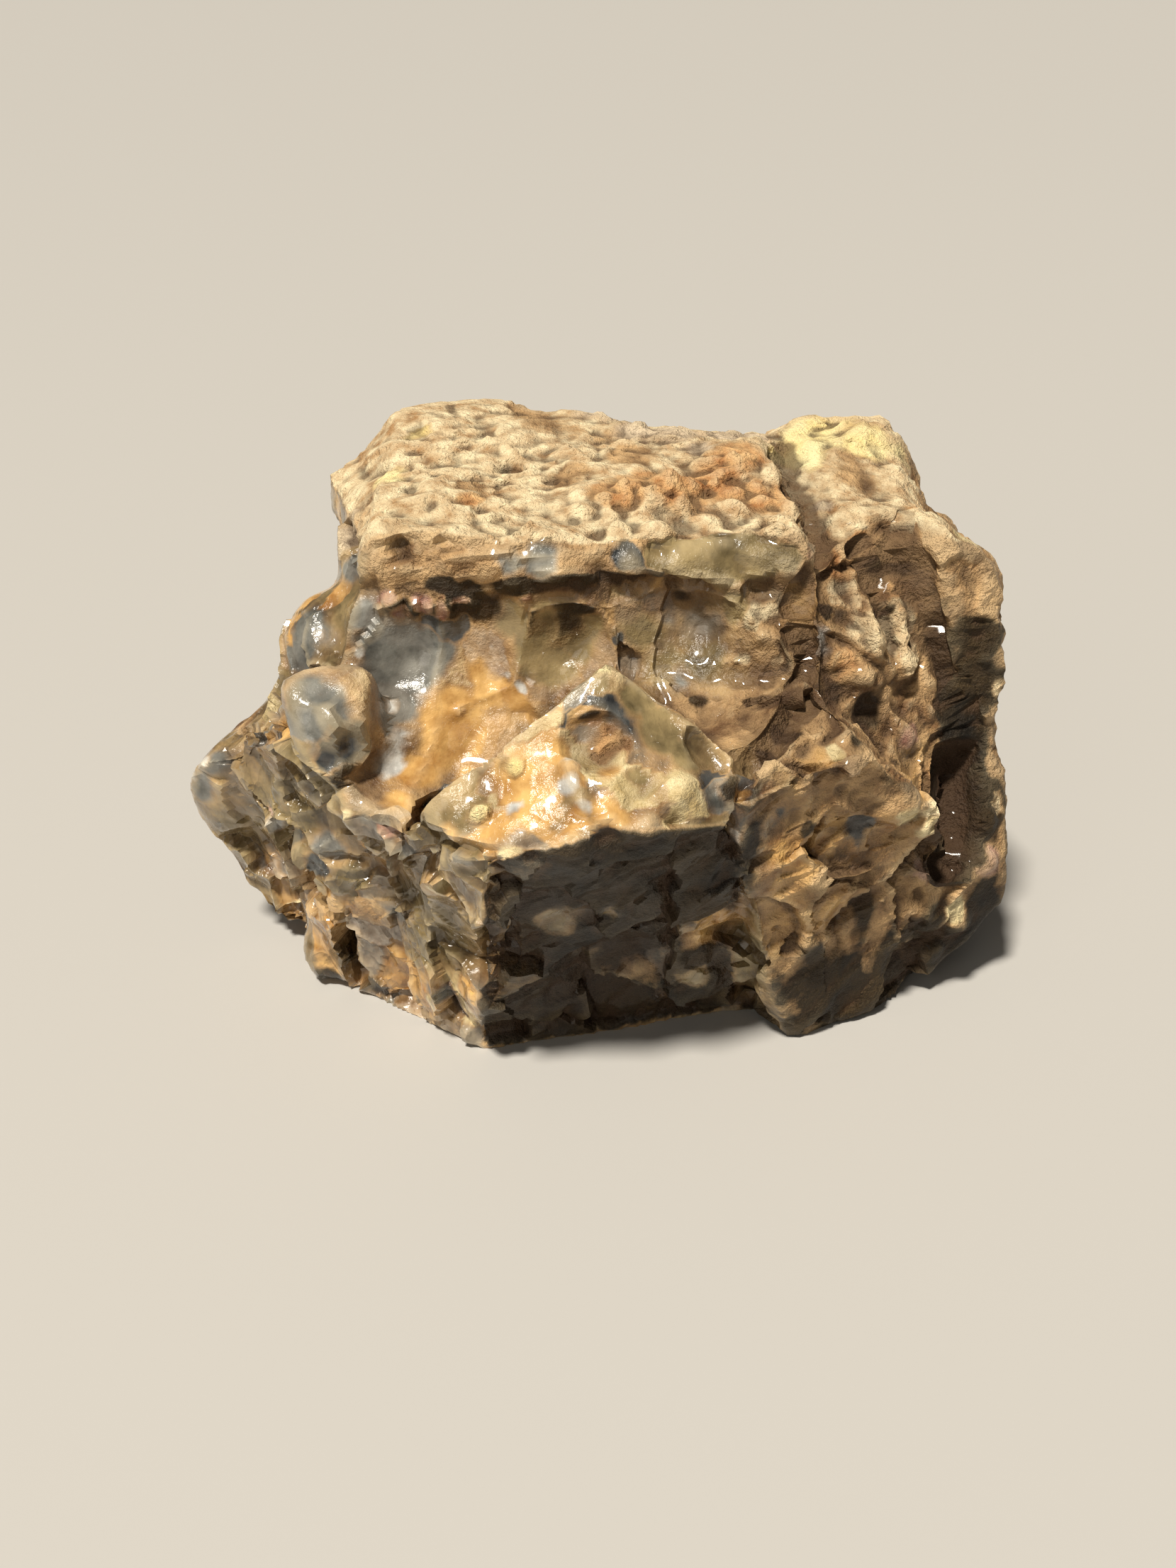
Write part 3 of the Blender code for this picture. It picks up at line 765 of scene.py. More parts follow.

# %% [markdown]
# ## Where each mineral lies
# The stone is not coloured at random: honey agate fills the hollow, blue agate the wall beside it,
# jasper the overhang, sand and clay the top. Near-black jasper and slate also paint the shade under
# the overhang, on the rim, in the groove and in the recess under the seam, and a few milky and pale
# places are painted glints and highlights. Each mineral has a list of places, a point in
# millimetres and how far the mineral reaches from it. A point of the skin belongs to the mineral
# whose place claims it most strongly, after the point has been stirred by noise, so that the borders
# wander as veins do. Where no place reaches, slow noise and the tint of the break decide.

# %% List the places
PLACES = {
    "cream": [(-10, 2, 92, 13), (-26, 20, 93, 18), (-30, -2, 90, 9), (-14, 34, 91, 14),
              (-33, 38, 96, 11), (-42, 33, 91, 9), (-43, 20, 88, 7), (-37, -6, 90, 7),
              (10, -5, 90, 5), (3, -8, 89.5, 5), (45, -6, 78, 5.5), (48, -9, 72, 5.5),
              (46, -3, 83, 4.5), (53, -2.5, 71, 5.5), (54, -5, 66, 5.4), (30, -13, 78.5, 5),
              (27, -14, 76, 3.5), (26, -17, 69.5, 3), (31, -17.5, 70, 4), (35, -22, 70, 4),
              (57, -26, 46, 4), (-12, -9, 90, 5), (73, -2, 58, 3.5), (73.5, -4, 48, 3.5),
              (74, -8, 37, 3.5), (72, 2, 70, 3)],
    "yellow": [(45, 38, 93, 17), (52, 34, 93, 14), (40, 30, 92, 12), (-34, 13, 92, 6),
               (-31, 31, 95, 7), (-12, -43, 63, 3.5), (2, -34, 76, 4), (-17, -48, 58, 3)],
    "orange": [(3, -40.5, 65.5, 5), (22, 9, 92, 14), (16, 4, 92, 12), (6, 4, 91, 10),
               (29, 6, 90, 11), (12, 9, 92, 10), (35, 8, 92, 7), (26, 17, 93, 10), (-20, 2, 91, 4),
               (-13, 18, 93, 3), (41, -3, 84, 5), (44, -3, 82, 5), (47, 1, 85, 4), (52, 1, 75, 4),
               (62, -12, 46, 5), (57, 10, 88, 6), (43, -14, 68, 4)],
    "gray": [(14, 36, 92, 20), (2, 43, 93, 14), (28, 38, 92, 13), (10, 34, 94, 12),
             (20, 24, 94, 7), (42, 12, 88, 5), (-44, 8, 84, 7)],
    "blue": [(-33, -12, 71, 9), (-36, -13, 75, 6), (-29, -13, 68, 8), (-34, -15, 64.5, 7),
             (-32, -18, 62, 5), (-35, -21, 60, 4), (-26, -12, 70, 4), (-8, -14, 86, 5),
             (-13, -13, 86, 4), (14, -14, 70, 6), (19, -13, 72, 7), (13, -12, 75, 5),
             (16, -15, 67, 4), (-43, -30, 68, 8), (-40, -31, 66, 6), (-46, -31, 64, 6),
             (-72, -2, 38, 6), (-68, -5, 43, 6), (-46, -21, 36, 5), (-40, -31, 47, 5),
             (-20, -50.5, 51, 5), (-22, -46, 42, 5), (-34, -27, 24, 6), (30, -41, 50, 4),
             (-53, -12, 32, 4), (-31, -38, 44, 4), (-28, -30, 12, 5), (-47, -2, 66, 10),
             (-48, -4, 71, 8), (-51, -6, 66, 7), (-41, 0, 81, 7), (-41.5, 9, 83, 6),
             (-41, -8, 80, 5)],
    # near-black slate: dark agate, and painted shade in the recess under the seam and below the knob
    "slate_and_shade": [(-39, -33, 61, 7), (-24, -12, 73, 3.5), (-21, -12, 74.5, 3), (-27, -12, 75, 3),
              (-37, -31.5, 61, 5), (-39, -32.5, 64, 3), (-41, -33, 59.5, 4),
              (-37.5, -30, 66.5, 1.6), (-23.5, -22, 55, 2), (-17.6, -20.5, 57, 2.6),
              (-19, -21, 56.5, 2), (9, -14, 71, 3), (6, -13, 72, 2.5), (-54, -17, 42, 3.5),
              (-51, -17, 36, 3.5), (-47.5, -18.5, 31, 3.5), (7, -12, 86, 5), (46, -32, 44, 4.5),
              (48, -33, 40, 4), (33, -40, 52, 4), (-18, -50, 45, 4), (-50, -7, 68, 4)],
    "honey": [(-21, -18, 60, 6), (-25, -19, 59, 5), (-24, -21, 56, 6), (-17, -15.5, 64, 5),
              (-19, -14.5, 66, 3.5), (-13, -17, 62, 5), (-10, -18, 61, 4), (-21, -23, 54, 4.5),
              (-28, -25, 53, 5), (-12, -45, 62, 8), (-15, -50, 57, 5), (-5, -42, 66, 4),
              (3, -45, 65, 4), (1, -42, 66.5, 4), (-8, -49, 59, 5), (-2, -51, 58, 4),
              (5, -14, 77, 4.5), (8, -13, 79.5, 4), (12, -12, 80, 4), (16, -11.5, 80.5, 3),
              (-30, -33, 50, 5), (-21, -50, 54, 4), (-52, -27, 60, 4.5), (-50, -26, 55, 4.5),
              (-45, -19, 24, 5), (-48, -16, 20, 4), (-20, -37, 16, 5), (-65, -1, 18, 4),
              (35, -38, 45, 7), (42, -30, 31, 6), (23, -33.5, 26, 12), (3, -51, 60, 5),
              (-74, 2, 44, 5), (-44, -24, 45, 3), (-32, -34, 36, 4), (-22, -41, 32, 4),
              (19, -36, 31, 4)],
    "olive": [(-13, -13, 75, 5), (-8, -12, 73, 6), (-3, -12, 72, 6), (-6, -15, 67, 6),
              (-10, -14, 70, 5), (0, -12, 74, 4), (2, -35, 75, 4), (8, -36, 72, 5),
              (12, -38, 68, 6), (16, -41, 64, 5), (8, -46, 63, 4), (-41, -23, 30, 5),
              (-44, -21, 26, 4), (-34, -38, 40, 5), (-30, -34, 33, 6), (-26, -36, 28, 6),
              (-33, -27, 16, 5), (-16, -53, 47, 4), (-3, -42, 33, 6), (18, -28, 14, 6),
              (-46, -27, 51, 6), (18, -13, 76, 5), (21, -10, 86, 7), (28, -9.5, 86, 6),
              (14, -10.5, 86, 5), (25, -11, 77, 4), (4, -40, 37, 4), (19, -13, 70, 8),
              (15, -13.5, 69, 7), (10, -13, 74, 7), (-5, -43, 34, 6.6), (8, -34, 14, 9),
              (1, -36, 18, 8)],
    # milky agate, with a few small places that are painted glints, as on the ledge under the agate
    # lens
    "milky_and_glints": [(-4.5, -44, 67.5, 2.6), (-3.5, -47, 64.5, 2.6), (-37.5, -12.5, 73, 1.8),
              (-38, -12.7, 70, 1.8), (-15.5, -13, 71, 2), (-13.5, -14.5, 67, 2),
              (-11, -16, 64.5, 2), (-7.5, -17, 64, 2.2), (-33.5, -22, 57, 4), (-33, -25, 55, 3.5),
              (-34, -19, 61, 2.5), (-43, -28, 70, 2.2), (-2, -44, 65, 2.5), (-3, -47, 62, 2.5),
              (-1, -50, 59.5, 2.5), (-11, -48, 60, 3), (-26, -43, 42, 2.5), (-39, -32, 45, 3),
              (-70, -4, 45, 3), (-74, -1, 40, 3), (42, -15, 73, 5), (22, -11.5, 82.5, 2),
              (25, -11.5, 82, 2), (-57, -12, 35, 3.5), (-52, -14, 29, 3), (-23, -50, 49, 2.5),
              (-44, -10, 76, 4), (-47, -6, 70, 3)],
    # pale agate and cream facets, with painted highlights along the prow's lower edge and the slabs'
    # edges
    "pale_and_highlights": [(-65, -1.5, 20, 3.5), (-62.5, -1.5, 14, 3.5), (-60, -2, 9, 3.5), (-43, -29, 46, 3),
             (-31.5, -37, 43, 2.5), (-26, -43, 46, 2.5), (-12, -54, 54, 3), (-17, -53, 53, 2.5),
             (15, -45, 61, 5), (17, -46.5, 59, 4), (14, -48.5, 57.5, 3.5), (5, -38, 73, 2),
             (-24, -39, 39, 2.5), (-27, -28, 9, 3), (54, -28, 46, 5), (58, -25, 43, 4),
             (67, -16, 20, 4), (60, -18, 12, 3.5), (65, 4, 83, 4), (-57, -3, 55, 4),
             (-38.5, -32.5, 50, 2), (28, -35, 63, 2), (40, -33, 60, 2.5)],
    "rose": [(-34, -12.3, 78.5, 3), (-31, -12, 76.5, 3), (-28, -12, 78, 3), (-24.6, -12, 76.7, 3),
             (-21, -12, 78.5, 3), (-21.5, -17.5, 60.5, 2.4), (-20, -18.5, 59, 2.4),
             (-33.5, -37, 48, 3.5), (1, -40, 69, 4), (-55, -13, 31, 3), (-57, -12.5, 38, 2.5),
             (57, -12, 53, 4), (72, -12, 28, 5), (-52, -12, 24, 3), (60, -20, 30, 5)],
    # near-black jasper: brown jasper, and painted shade on the overhanging front, the rim's face and
    # in the gaps between the slabs
    "jasper": [(-3, -46, 43, 13), (8, -46, 46, 12), (17, -39, 36, 13), (0, -38, 24, 13),
               (20, -31, 20, 8), (49, -15, 59, 5), (32, -30, 64.5, 4), (29, -34, 62, 3.5),
               (22, -42, 59, 4), (49.5, 1, 81, 3.5), (51, -4, 74, 3), (18, -20, 64, 3.5),
               (24, -20, 66, 3), (41, -9, 76, 3), (68, -1, 68, 8), (69, -3, 58, 9),
               (36, -38, 47, 5), (70, -6, 46, 9), (70, -10, 34, 7), (60, 4, 74, 4),
               (62, 2, 66, 4)],
    "tan": [(-4, 12, 92, 10), (8, 20, 93, 12), (-20, 6, 91, 7), (17, -24, 63.5, 9),
            (24, -24, 66, 9), (30, -26, 67, 7), (34, -33, 63, 5), (33, -37, 60.5, 5),
            (39, -30, 63, 5), (41, -34, 36, 7), (50, -29, 33, 7), (58, -22, 26, 8), (74, 2, 64, 6),
            (74, -3, 44, 7), (74, 4, 72, 7), (56, -12, 57, 5), (-29, -12, 85, 6),
            (-22, -12.5, 85, 5), (-34, -12, 84.5, 5), (-17, -13, 85, 4), (38, -13, 79, 3.5),
            (41, -8, 84, 4), (50, 5, 87, 4), (76, 10, 30, 12), (-74, 4, 46, 5), (-12, 46, 96, 8),
            (-63, 4, 50, 7)],
}
print(sum(len(places) for places in PLACES.values()), "places for", len(PLACES), "minerals")

# %% [markdown]
# ## From claims to shares
# The places make the first claims. Wide regions are claimed more weakly, by what the stone shows
# there: the top is crust, the overhang jasper, the left half of the second hollow slate, and each
# shard has the mineral that its own number picks. Near-black jasper is also claimed on faces that
# look down and along the groove, as painted shade. In the end the claims become shares that add up
# to one, so that a border between two minerals is a narrow blend and not a step.

# %% Turn claims into shares
SMALL_REACH = 5.5       # mm, up to which a place is small and its border only ruffled
SEAM_REACH, GROOVE_REACH = (2.6, 1.5), 7.0     # mm; the seam's reach at its left and right
FIRMNESS = 11.0         # how sharply the strongest claim wins
SHARD_MINERALS = {      # which of a shard's numbers pick each mineral, and which drift it follows
    "olive": (0.0, 0.30, 0), "honey": (0.30, 0.54, 2), "blue": (0.54, 0.67, 1),
    "slate_and_shade": (0.67, 0.73, 1), "milky_and_glints": (0.73, 0.82, 0), "pale_and_highlights": (0.82, 0.93, 2),
    "tan": (0.93, 1.0, 1),
}


def shares(claims, firmness):
    """Claims turned to shares that add up to one: exponentials of the claims, over their sum."""
    weights = np.exp(firmness * (claims - claims.max(axis=0)))
    return weights / weights.sum(axis=0)


def raise_claim(name, least):
    """Lifts a mineral's claim to at least this much."""
    claims[name] = np.maximum(claims[name], least)


def claimed(places):
    """The strongest claim on each point. Wide places have borders that wander far; those of small
    places are only ruffled."""
    wide = [place for place in places if place[3] > SMALL_REACH]
    small = [place for place in places if place[3] <= SMALL_REACH]
    return np.maximum(reached(stirred, wide), reached(ruffled, small))


ruffled = skin + 1.2 * sway(skin + 70, 4.5) + 0.6 * sway(skin + 35, 1.8)
stirred = ruffled + 2.4 * sway(skin, 10.0)
drift = sway(skin + 200, 16.0)
streaks = sway(stirred * (1, 1, 0.4) + 90, 5.0)[:, 0]
claims = {name: claimed(places) for name, places in PLACES.items()}
front_wall = between(face_way @ facing(-3, 4), 0.7, 0.9) * (np.abs(skin[:, 2] - 85) < 5)
top = between(face_way[:, 2], 0.5, 0.8) * between(skin[:, 2], 83, 86)
left_half = satin * between(skin[:, 0], 25, 19) * between(skin[:, 2], 65, 68)
fresh = (1 - crust) * (1 - 0.8 * right) * (1 - 0.6 * in_hollow)
in_front = np.clip(0.7 - face_way[:, 1], 0, 1)
# how far a face looks down, for the painted shade under it
shaded_underneath = np.clip(-face_way[:, 2] - 0.3, 0, 0.3)
bare_right = right * (1 - crust)

raise_claim("cream", 0.55 * top)
raise_claim("tan", top * (0.36 + 0.45 * drift[:, 2]))
raise_claim("blue", left_half * (0.70 + 0.3 * drift[:, 0]))
raise_claim("olive", left_half * (0.68 + 0.3 * drift[:, 1]))
raise_claim("slate_and_shade", left_half * (0.74 + 0.5 * drift[:, 2]))
raise_claim("tan", 0.05 + 0.2 * np.maximum(crust, right) + 0.3 * front_wall)
# the overhang gets near-black jasper: brown jasper, and painted shade under the overhang
raise_claim("jasper", 0.58 * overhang)
raise_claim("olive", 1.2 * lens)
for name, (least, most, wander) in SHARD_MINERALS.items():
    picked = (shard_tint >= least) & (shard_tint < most)
    raise_claim(name, fresh * (0.12 + 0.18 * drift[:, wander] + 0.27 * picked))
raise_claim("honey", flank * (0.30 + 0.35 * drift[:, 2]) * np.clip((skin[:, 2] - 26) / 20, 0.2, 1))
raise_claim("olive", flank * (0.36 + 0.35 * drift[:, 0]))
# more near-black jasper towards the bottom of the flank
raise_claim("jasper", flank * (0.16 + 0.5 * drift[:, 1]) * between(skin[:, 2], 50, 30))
raise_claim("honey", bare_right * (0.12 + 0.6 * drift[:, 0]))
raise_claim("olive", bare_right * (0.10 + 0.5 * drift[:, 2]))
# on the right, more near-black jasper on faces that look forward and towards the bottom
raise_claim("jasper", right * (0.06 + in_front * (0.12 + 0.3 * streaks)
                               + 0.3 * between(stirred[:, 2], 34, 10)))
# painted shade on faces that look down
raise_claim("jasper", shaded_underneath * np.clip(1.4 - right, 0, 1) * (1 - flank))
# painted shade along the groove
raise_claim("jasper", 1.15 - rods(stirred, GROOVE, 0) / GROOVE_REACH)
# the seam and the crack: a red-brown seam, darkened nearly to black as painted shade in the crease
seam_reach = np.where(skin[:, 0] < 4, *SEAM_REACH)
claims["seam_and_shade"] = 0.85 - np.minimum(rods(stirred, SEAM, 0), rods(stirred, CRACK, 0)) / seam_reach
minerals = dict(zip(claims, shares(np.stack(list(claims.values())), FIRMNESS)))
for name, share in minerals.items():
    print(f"{name:8s}{100 * share.mean():5.1f} % of the skin")

# %% [markdown]
# ## Named lumps, ribs and pits
# Some small forms are worth a name, because anyone who holds the stone would find them: the little
# nodules along the front of the crust, an almond of grey agate, ribs like melted wax beside the
# crack, slabs that lean over each other. A mound is a round swelling at a point, a welt the same
# along a path, and a negative rise makes a pit or a gap.

# %% List the lumps, ribs and pits
MOUNDS = [      # x, y, z, radius, rise
    (3, 2, 91, 3.4, 1.6), (7, 5, 91, 3.6, 1.8), (11, 2, 91, 3.8, 2.0), (9, -3, 91, 4.0, 2.0),
    (14, 6, 92, 3.6, 2.0), (18, 8, 92, 4.0, 2.2), (22, 10, 92, 3.8, 2.2), (25, 7, 92, 3.6, 1.9),
    (29, 9, 91, 3.4, 1.7), (16, 1, 91, 3.6, 1.9), (25, 1, 91, 3.6, 1.8), (30, 4, 91, 3.2, 1.6),
    (12, -7, 89.5, 4.2, 2.2), (20, -3, 90, 3.8, 1.9), (-1, -1, 91, 3.4, 1.5),
    (5, -7, 90, 3.0, 1.4), (27, 14, 93, 3.8, 1.8), (33, 12, 92, 3.2, 1.5), (21, 15, 93, 3.4, 1.4),
    (35, 3, 90, 3.0, 1.4), (7, -12, 85, 3.4, 0.9), (46, 9, 88, 5.0, 1.2), (37, -13, 79, 2.6, 1.4),
    (44, -1, 83, 2.4, 1.2), (58, -2, 72, 2.8, 1.6), (58, 0, 66, 2.8, 1.7), (60, -4, 60, 2.6, 1.5),
    (60, -6, 55, 2.6, 1.4), (42, -15, 73, 5.0, 2.4), (57, -12, 53, 3.6, 2.6),
    (53, -28, 48, 6.0, 2.6), (57, -25, 43, 4.4, 1.8), (68, -17, 28, 4.0, 2.0),
    (68, -14, 16, 4.2, 2.2), (64, -15, 10, 3.6, 1.6), (62, -20, 21, 4.0, 1.6),
    (70, -1, 64, 3.6, 1.8), (71, -3, 54, 3.2, 1.8), (72, -1, 42, 3.4, 1.8),
    (72, -10, 35, 3.4, 1.8), (72, -12, 28, 3.4, 1.8), (22, -16, 69, 2.8, 1.3),
    (26, -17, 68, 3.0, 1.5), (31, -18, 70, 3.2, 1.5), (27, -14, 76, 2.6, 1.5),
    (30, -13, 78, 2.6, 1.5), (30, -15, 73, 2.6, 1.3), (33, -15, 76, 2.4, 1.3),
    (15, -46, 60, 6.0, 1.6), (-36, -12.5, 77.5, 2.0, 1.2), (-33, -12.5, 78.3, 2.2, 1.4),
    (-29.5, -12, 77, 2.2, 1.4), (-26.5, -12.3, 77.6, 1.8, 1.1), (-23, -12.4, 77.5, 2.0, 1.3),
    (-20, -12.3, 78.3, 1.8, 1.2), (-21.5, -17.5, 60.6, 2.2, 0.8), (-19.5, -18.5, 59.3, 2.0, 0.8),
    (-33.8, -23, 57, 4.6, 1.8), (-20.5, -50, 51, 4.0, 1.8), (-57, -13, 35, 4.4, 1.8),
    (-14, 17, 93, 3.4, -2.8), (-19, 30, 95, 3.0, -1.4), (-26, -1, 91, 2.4, -1.4),
    (-45, -34, 65, 6.0, -1.4), (-39, -32.5, 60, 5.0, -1.4), (-43, -29, 70, 4.5, -1.1),
    (-38, -30, 67, 4.0, -1.0), (-18, -1, 91, 2.6, -1.6), (-31, 6, 92, 2.2, -1.2),
    (-7, 12, 92, 2.2, -1.2), (-2, -4, 91, 2.0, -1.2), (19, 3, 91, 2.0, -1.2),
    (-9, -52.5, 54, 3.0, -1.8), (-3, -53, 55, 3.4, 1.4), (3, -52.5, 56, 3.0, -1.8),
    (9, -51, 57, 3.2, 1.2), (13, -49.5, 58, 2.8, -1.8), (18, -47.5, 58, 2.6, 1.2),
    (-14, -51, 45, 4.0, -2.0), (-15, -49, 39, 4.6, 1.8), (-16, -46, 31, 4.0, -2.2),
    (-16.5, -43, 25, 4.6, 2.0), (-17.5, -40, 18.5, 3.6, -2.0), (-12, -47, 33, 4.0, 1.2),
    (49, -15, 59, 5.0, -2.4), (58, -2, 80, 4.0, -2.0), (-44, -30, 51, 2.4, -1.8),
    (-53, -10.5, 18.8, 4.5, -2.6), (-46, -26.5, 50, 5.0, -1.8), (18, -20, 64, 3.0, -1.4),
]
WELTS = [       # path, radius, rise
    ([(15, -10, 86), (23, -9.5, 87), (33, -10, 85)], 4.0, 1.4),
    ([(3, -14, 79), (9, -13, 80), (18, -12, 80.4), (27, -12.5, 80.2)], 3.2, 1.2),
    ([(-4.6, -42, 69.5), (-4, -45.5, 66), (-1.5, -49, 62.5)], 2.4, 1.9),
    ([(4, -48, 64.5), (7, -46.5, 65), (9, -43, 67.5)], 2.2, 1.4),
    ([(39, -4, 85), (47, 0, 85.5), (52, 3, 84)], 2.4, 1.8),
    ([(45, -4, 81), (46.5, -7, 77), (48, -9, 74), (49, -11, 69)], 2.8, 2.6),
    ([(53, -3, 75), (54, -5, 69), (54, -8, 64)], 2.5, 2.2),
    ([(41, -9, 81), (40, -12, 78)], 2.6, 1.5),
    ([(38, -24, 68), (42, -18, 66), (47, -14, 65)], 3.0, 1.8),
    ([(17, -28, 63), (25, -28, 66), (31, -25, 69)], 3.0, 1.3),
    ([(30, -37, 61), (34, -31, 65), (37, -27, 67)], 2.8, 1.4),
    ([(35, -40, 58), (38, -36, 60), (41, -31, 64)], 2.4, 1.3),
    ([(33, -40, 58), (37, -34, 62), (40, -29, 66)], 1.8, -1.4),
    ([(-57, -20, 51), (-56, -16, 44), (-53, -14.5, 36), (-50.5, -15, 29)], 3.6, 2.4),
    ([(-53, -26, 61), (-51, -26, 56), (-49.5, -24, 49)], 3.0, 2.0),
    ([(-38.5, -32, 54), (-38.5, -33, 49.5), (-38.5, -33.5, 46)], 2.0, 1.6),
    ([(-33, -33, 54), (-28, -40, 49), (-25, -44, 46), (-20, -50, 51)], 2.8, 1.8),
    ([(-33, -36, 47), (-31.5, -37.6, 43), (-31, -36, 39)], 2.4, 1.8),
    ([(-26.5, -42.5, 47.5), (-26, -43, 43), (-25, -42, 38.5)], 2.4, 1.6),
    ([(-46, -21, 34), (-42, -23.5, 33.5), (-38, -27, 33.5)], 2.0, -1.8),
    ([(-54, -18, 46), (-52, -17.5, 40), (-49, -17.5, 35), (-46, -19, 31)], 2.6, -1.8),
    ([(-30, -39, 36), (-26, -37, 26), (-20, -38, 16)], 3.0, 1.6),
    ([(-37, -31, 30), (-33, -29, 22), (-28, -29, 12)], 3.0, -1.4),
    ([(-44, -14, 74), (-42, -20, 72), (-40, -24, 72)], 1.6, -1.0),
    ([(-17.5, -12.4, 73.5), (-15, -13.5, 70), (-12, -16, 64.5)], 1.6, 0.8),
    ([(-2.5, -42, 66), (-2.5, -46, 63), (-0.5, -50, 60)], 2.2, 1.6),
    ([(-12, 46, 96), (-4, 44, 96), (3, 40, 95)], 3.0, 1.2),
]
print(len(MOUNDS), "mounds and", len(WELTS), "welts")

# %% [markdown]
# ## Swellings
# A lump with a hard foot would look stuck on. So each one swells as a soft bell does, steep half
# way up and level at its top and foot. Where two overlap, the higher counts, so that neighbours
# stay apart as nodules instead of adding up to one hill.

# %% Work out the swellings
def swelling(distance, radius, rise):
    """rise * (1 - (distance / radius)^2)^2 within the radius, and nothing beyond."""
    return rise * np.clip(1 - (distance / radius) ** 2, 0, 1) ** 2


def named_relief(p):
    """The highest named swelling at each point, plus the deepest named pit."""
    up, down = np.zeros(len(p)), np.zeros(len(p))
    for x, y, z, radius, rise in MOUNDS:
        swell = swelling(np.linalg.norm(p - (x, y, z), axis=1), radius, rise)
        up, down = np.maximum(up, swell), np.minimum(down, swell)
    for path, radius, rise in WELTS:
        swell = swelling(rods(p, path, 0), radius, rise)
        up, down = np.maximum(up, swell), np.minimum(down, swell)
    return up + down


named = named_relief(skin + 0.9 * sway(skin + 11, 4.5))
print("named lumps stand out", named.max().round(2), "mm, pits go in", named.min().round(2))

# %% [markdown]
# ## Finer breaks and grains
# With the minerals known, each gets its own small relief. Agate is knapped into hundreds of little
# scars. Crust rolls in low billows of sand, with grains on them and pits between. The column at the
# right is knobbly, like melted wax. Layers and cracks are saw-tooth waves along one direction,
# whose teeth are bent by noise and differ in height. Nothing is moved yet: each kind of relief is
# a height in millimetres for every point.

# %% Work out the fine relief
STRUCK_FLAKES = {"seed": 21, "count": 1000, "sizes": (4, 10), "depths": (0.5, 1.3),
                 "stretch": LONG_WAY, "lean": 0.5}
STRUCK_CHIPS = {"seed": 22, "count": 1800, "sizes": (2, 4.5), "depths": (0.25, 0.7)}


def teeth(p, way, gap, stir):
    """Saw teeth along a direction: the fraction of p.way / gap after stirring, times a height that
    each tooth keeps. About 0 to 1."""
    t = p @ np.array(way, float) / gap + stir * sway(p + 17, 3 * gap)[:, 0]
    number = np.floor(t).astype(np.int64)
    return (t - number) * (0.35 + 0.65 * SCATTER[number & 255, 0])


# how glassy and how gritty each point is, and where it is knapped
glass = sum(minerals[n] for n in ("blue", "honey", "olive", "milky_and_glints", "slate_and_shade"))
glass += 0.6 * minerals["pale_and_highlights"] + 0.7 * minerals["rose"] + 0.2 * minerals["jasper"]
glass = np.clip(glass + 0.5 * flank, 0, 1)
grit = sum(minerals[n] for n in ("cream", "orange", "yellow", "gray")) + minerals["tan"] * crust
grit = np.clip(grit, 0, 1)
knapped = knappable * (1 - 0.8 * grit)
flake_depth, flake_which = flakes(stirred, out, weight=knapped + 0.01, **STRUCK_FLAKES)
chip_depth, _ = flakes(stirred, out, weight=knapped**2 + 0.02, **STRUCK_CHIPS)
knap = np.maximum(shard_depth, np.maximum(flake_depth, 0.8 * chip_depth))

# the crust, in mm: rolling ground, billows, grains that come in patches, pits and shallow steps
rolling = 1.5 * sway(skin + 60, 12.0)[:, 0] + 1.2 * (abs(sway(stirred + 44, 8.0)[:, 1]) - 0.3)
billows = abs(sway(stirred + 21, 3.2)[:, 2]) - 0.3
sandy = grains(stirred + 9, 2.6) * np.clip(0.4 + 1.5 * sway(skin + 90, 9.0)[:, 0], 0, 1)
coarse_sand = np.clip(0.7 + 1.8 * sway(skin + 150, 15.0)[:, 1], 0.1, 1.5)
pits = np.clip(0.24 - nearest_seed(stirred + 5, 11.0), 0, 0.12) / 0.12
pits *= np.clip(2.5 * sway(skin + 33, 16.0)[:, 2], 0, 1)
sand = rolling + coarse_sand * (1.1 * billows + 0.5 * sandy) - 1.3 * pits
sand -= 0.35 * teeth(skin, (0.25, 1, 0.3), 9.0, 1.4)

# layers and cracks: which way the teeth run, the gap between them in mm, and how much they stray
leaning_layers = teeth(skin, (-0.57, -0.14, 0.81), 8.0, 1.0) * (1 - crust)
leaning_layers *= between(skin[:, 2], 78, 66) * np.clip(0.5 - 2 * face_way[:, 1], 0, 1)
leaning_layers = neighbour_mean(leaning_layers, edges)
upright_cracks = teeth(skin, (1, 0.3, 0.1), 5.5, 0.9)
for _ in range(3):
    upright_cracks = neighbour_mean(upright_cracks, edges)
upright_cracks *= reached(skin, [(-34, -15, 68, 15)]).clip(0)
bedding = teeth(skin, (0, 0.25, 1), 2.6, 1.2) * reached(skin, [(-15, -13, 85, 30)]).clip(0)
bedding *= (np.abs(skin[:, 2] - 85) < 5) * (out[:, 2] < 0.6)
ledges = teeth(skin, (0.40, -0.35, 0.85), 8.0, 1.6) * flank

# the column at the right: where it is, and its knobs
column = between(skin[:, 0], 38, 42) * between(skin[:, 2], 44, 50)
column *= between(out[:, 2], 1.3, 0.8) * (0.5 + 0.5 * between(skin[:, 2], 88, 84))
knobbly = 1.3 * sway(stirred + 23, 5.0)[:, 0] + 2.4 * (0.25 - abs(sway(stirred + 54, 4.2)[:, 1]))
knobbly *= 0.6 * column
for name, relief in (("sand", sand), ("layers", leaning_layers), ("column", knobbly)):
    print(f"{name:8s}{relief.min():6.2f} to {relief.max():5.2f} mm before it's weighted")

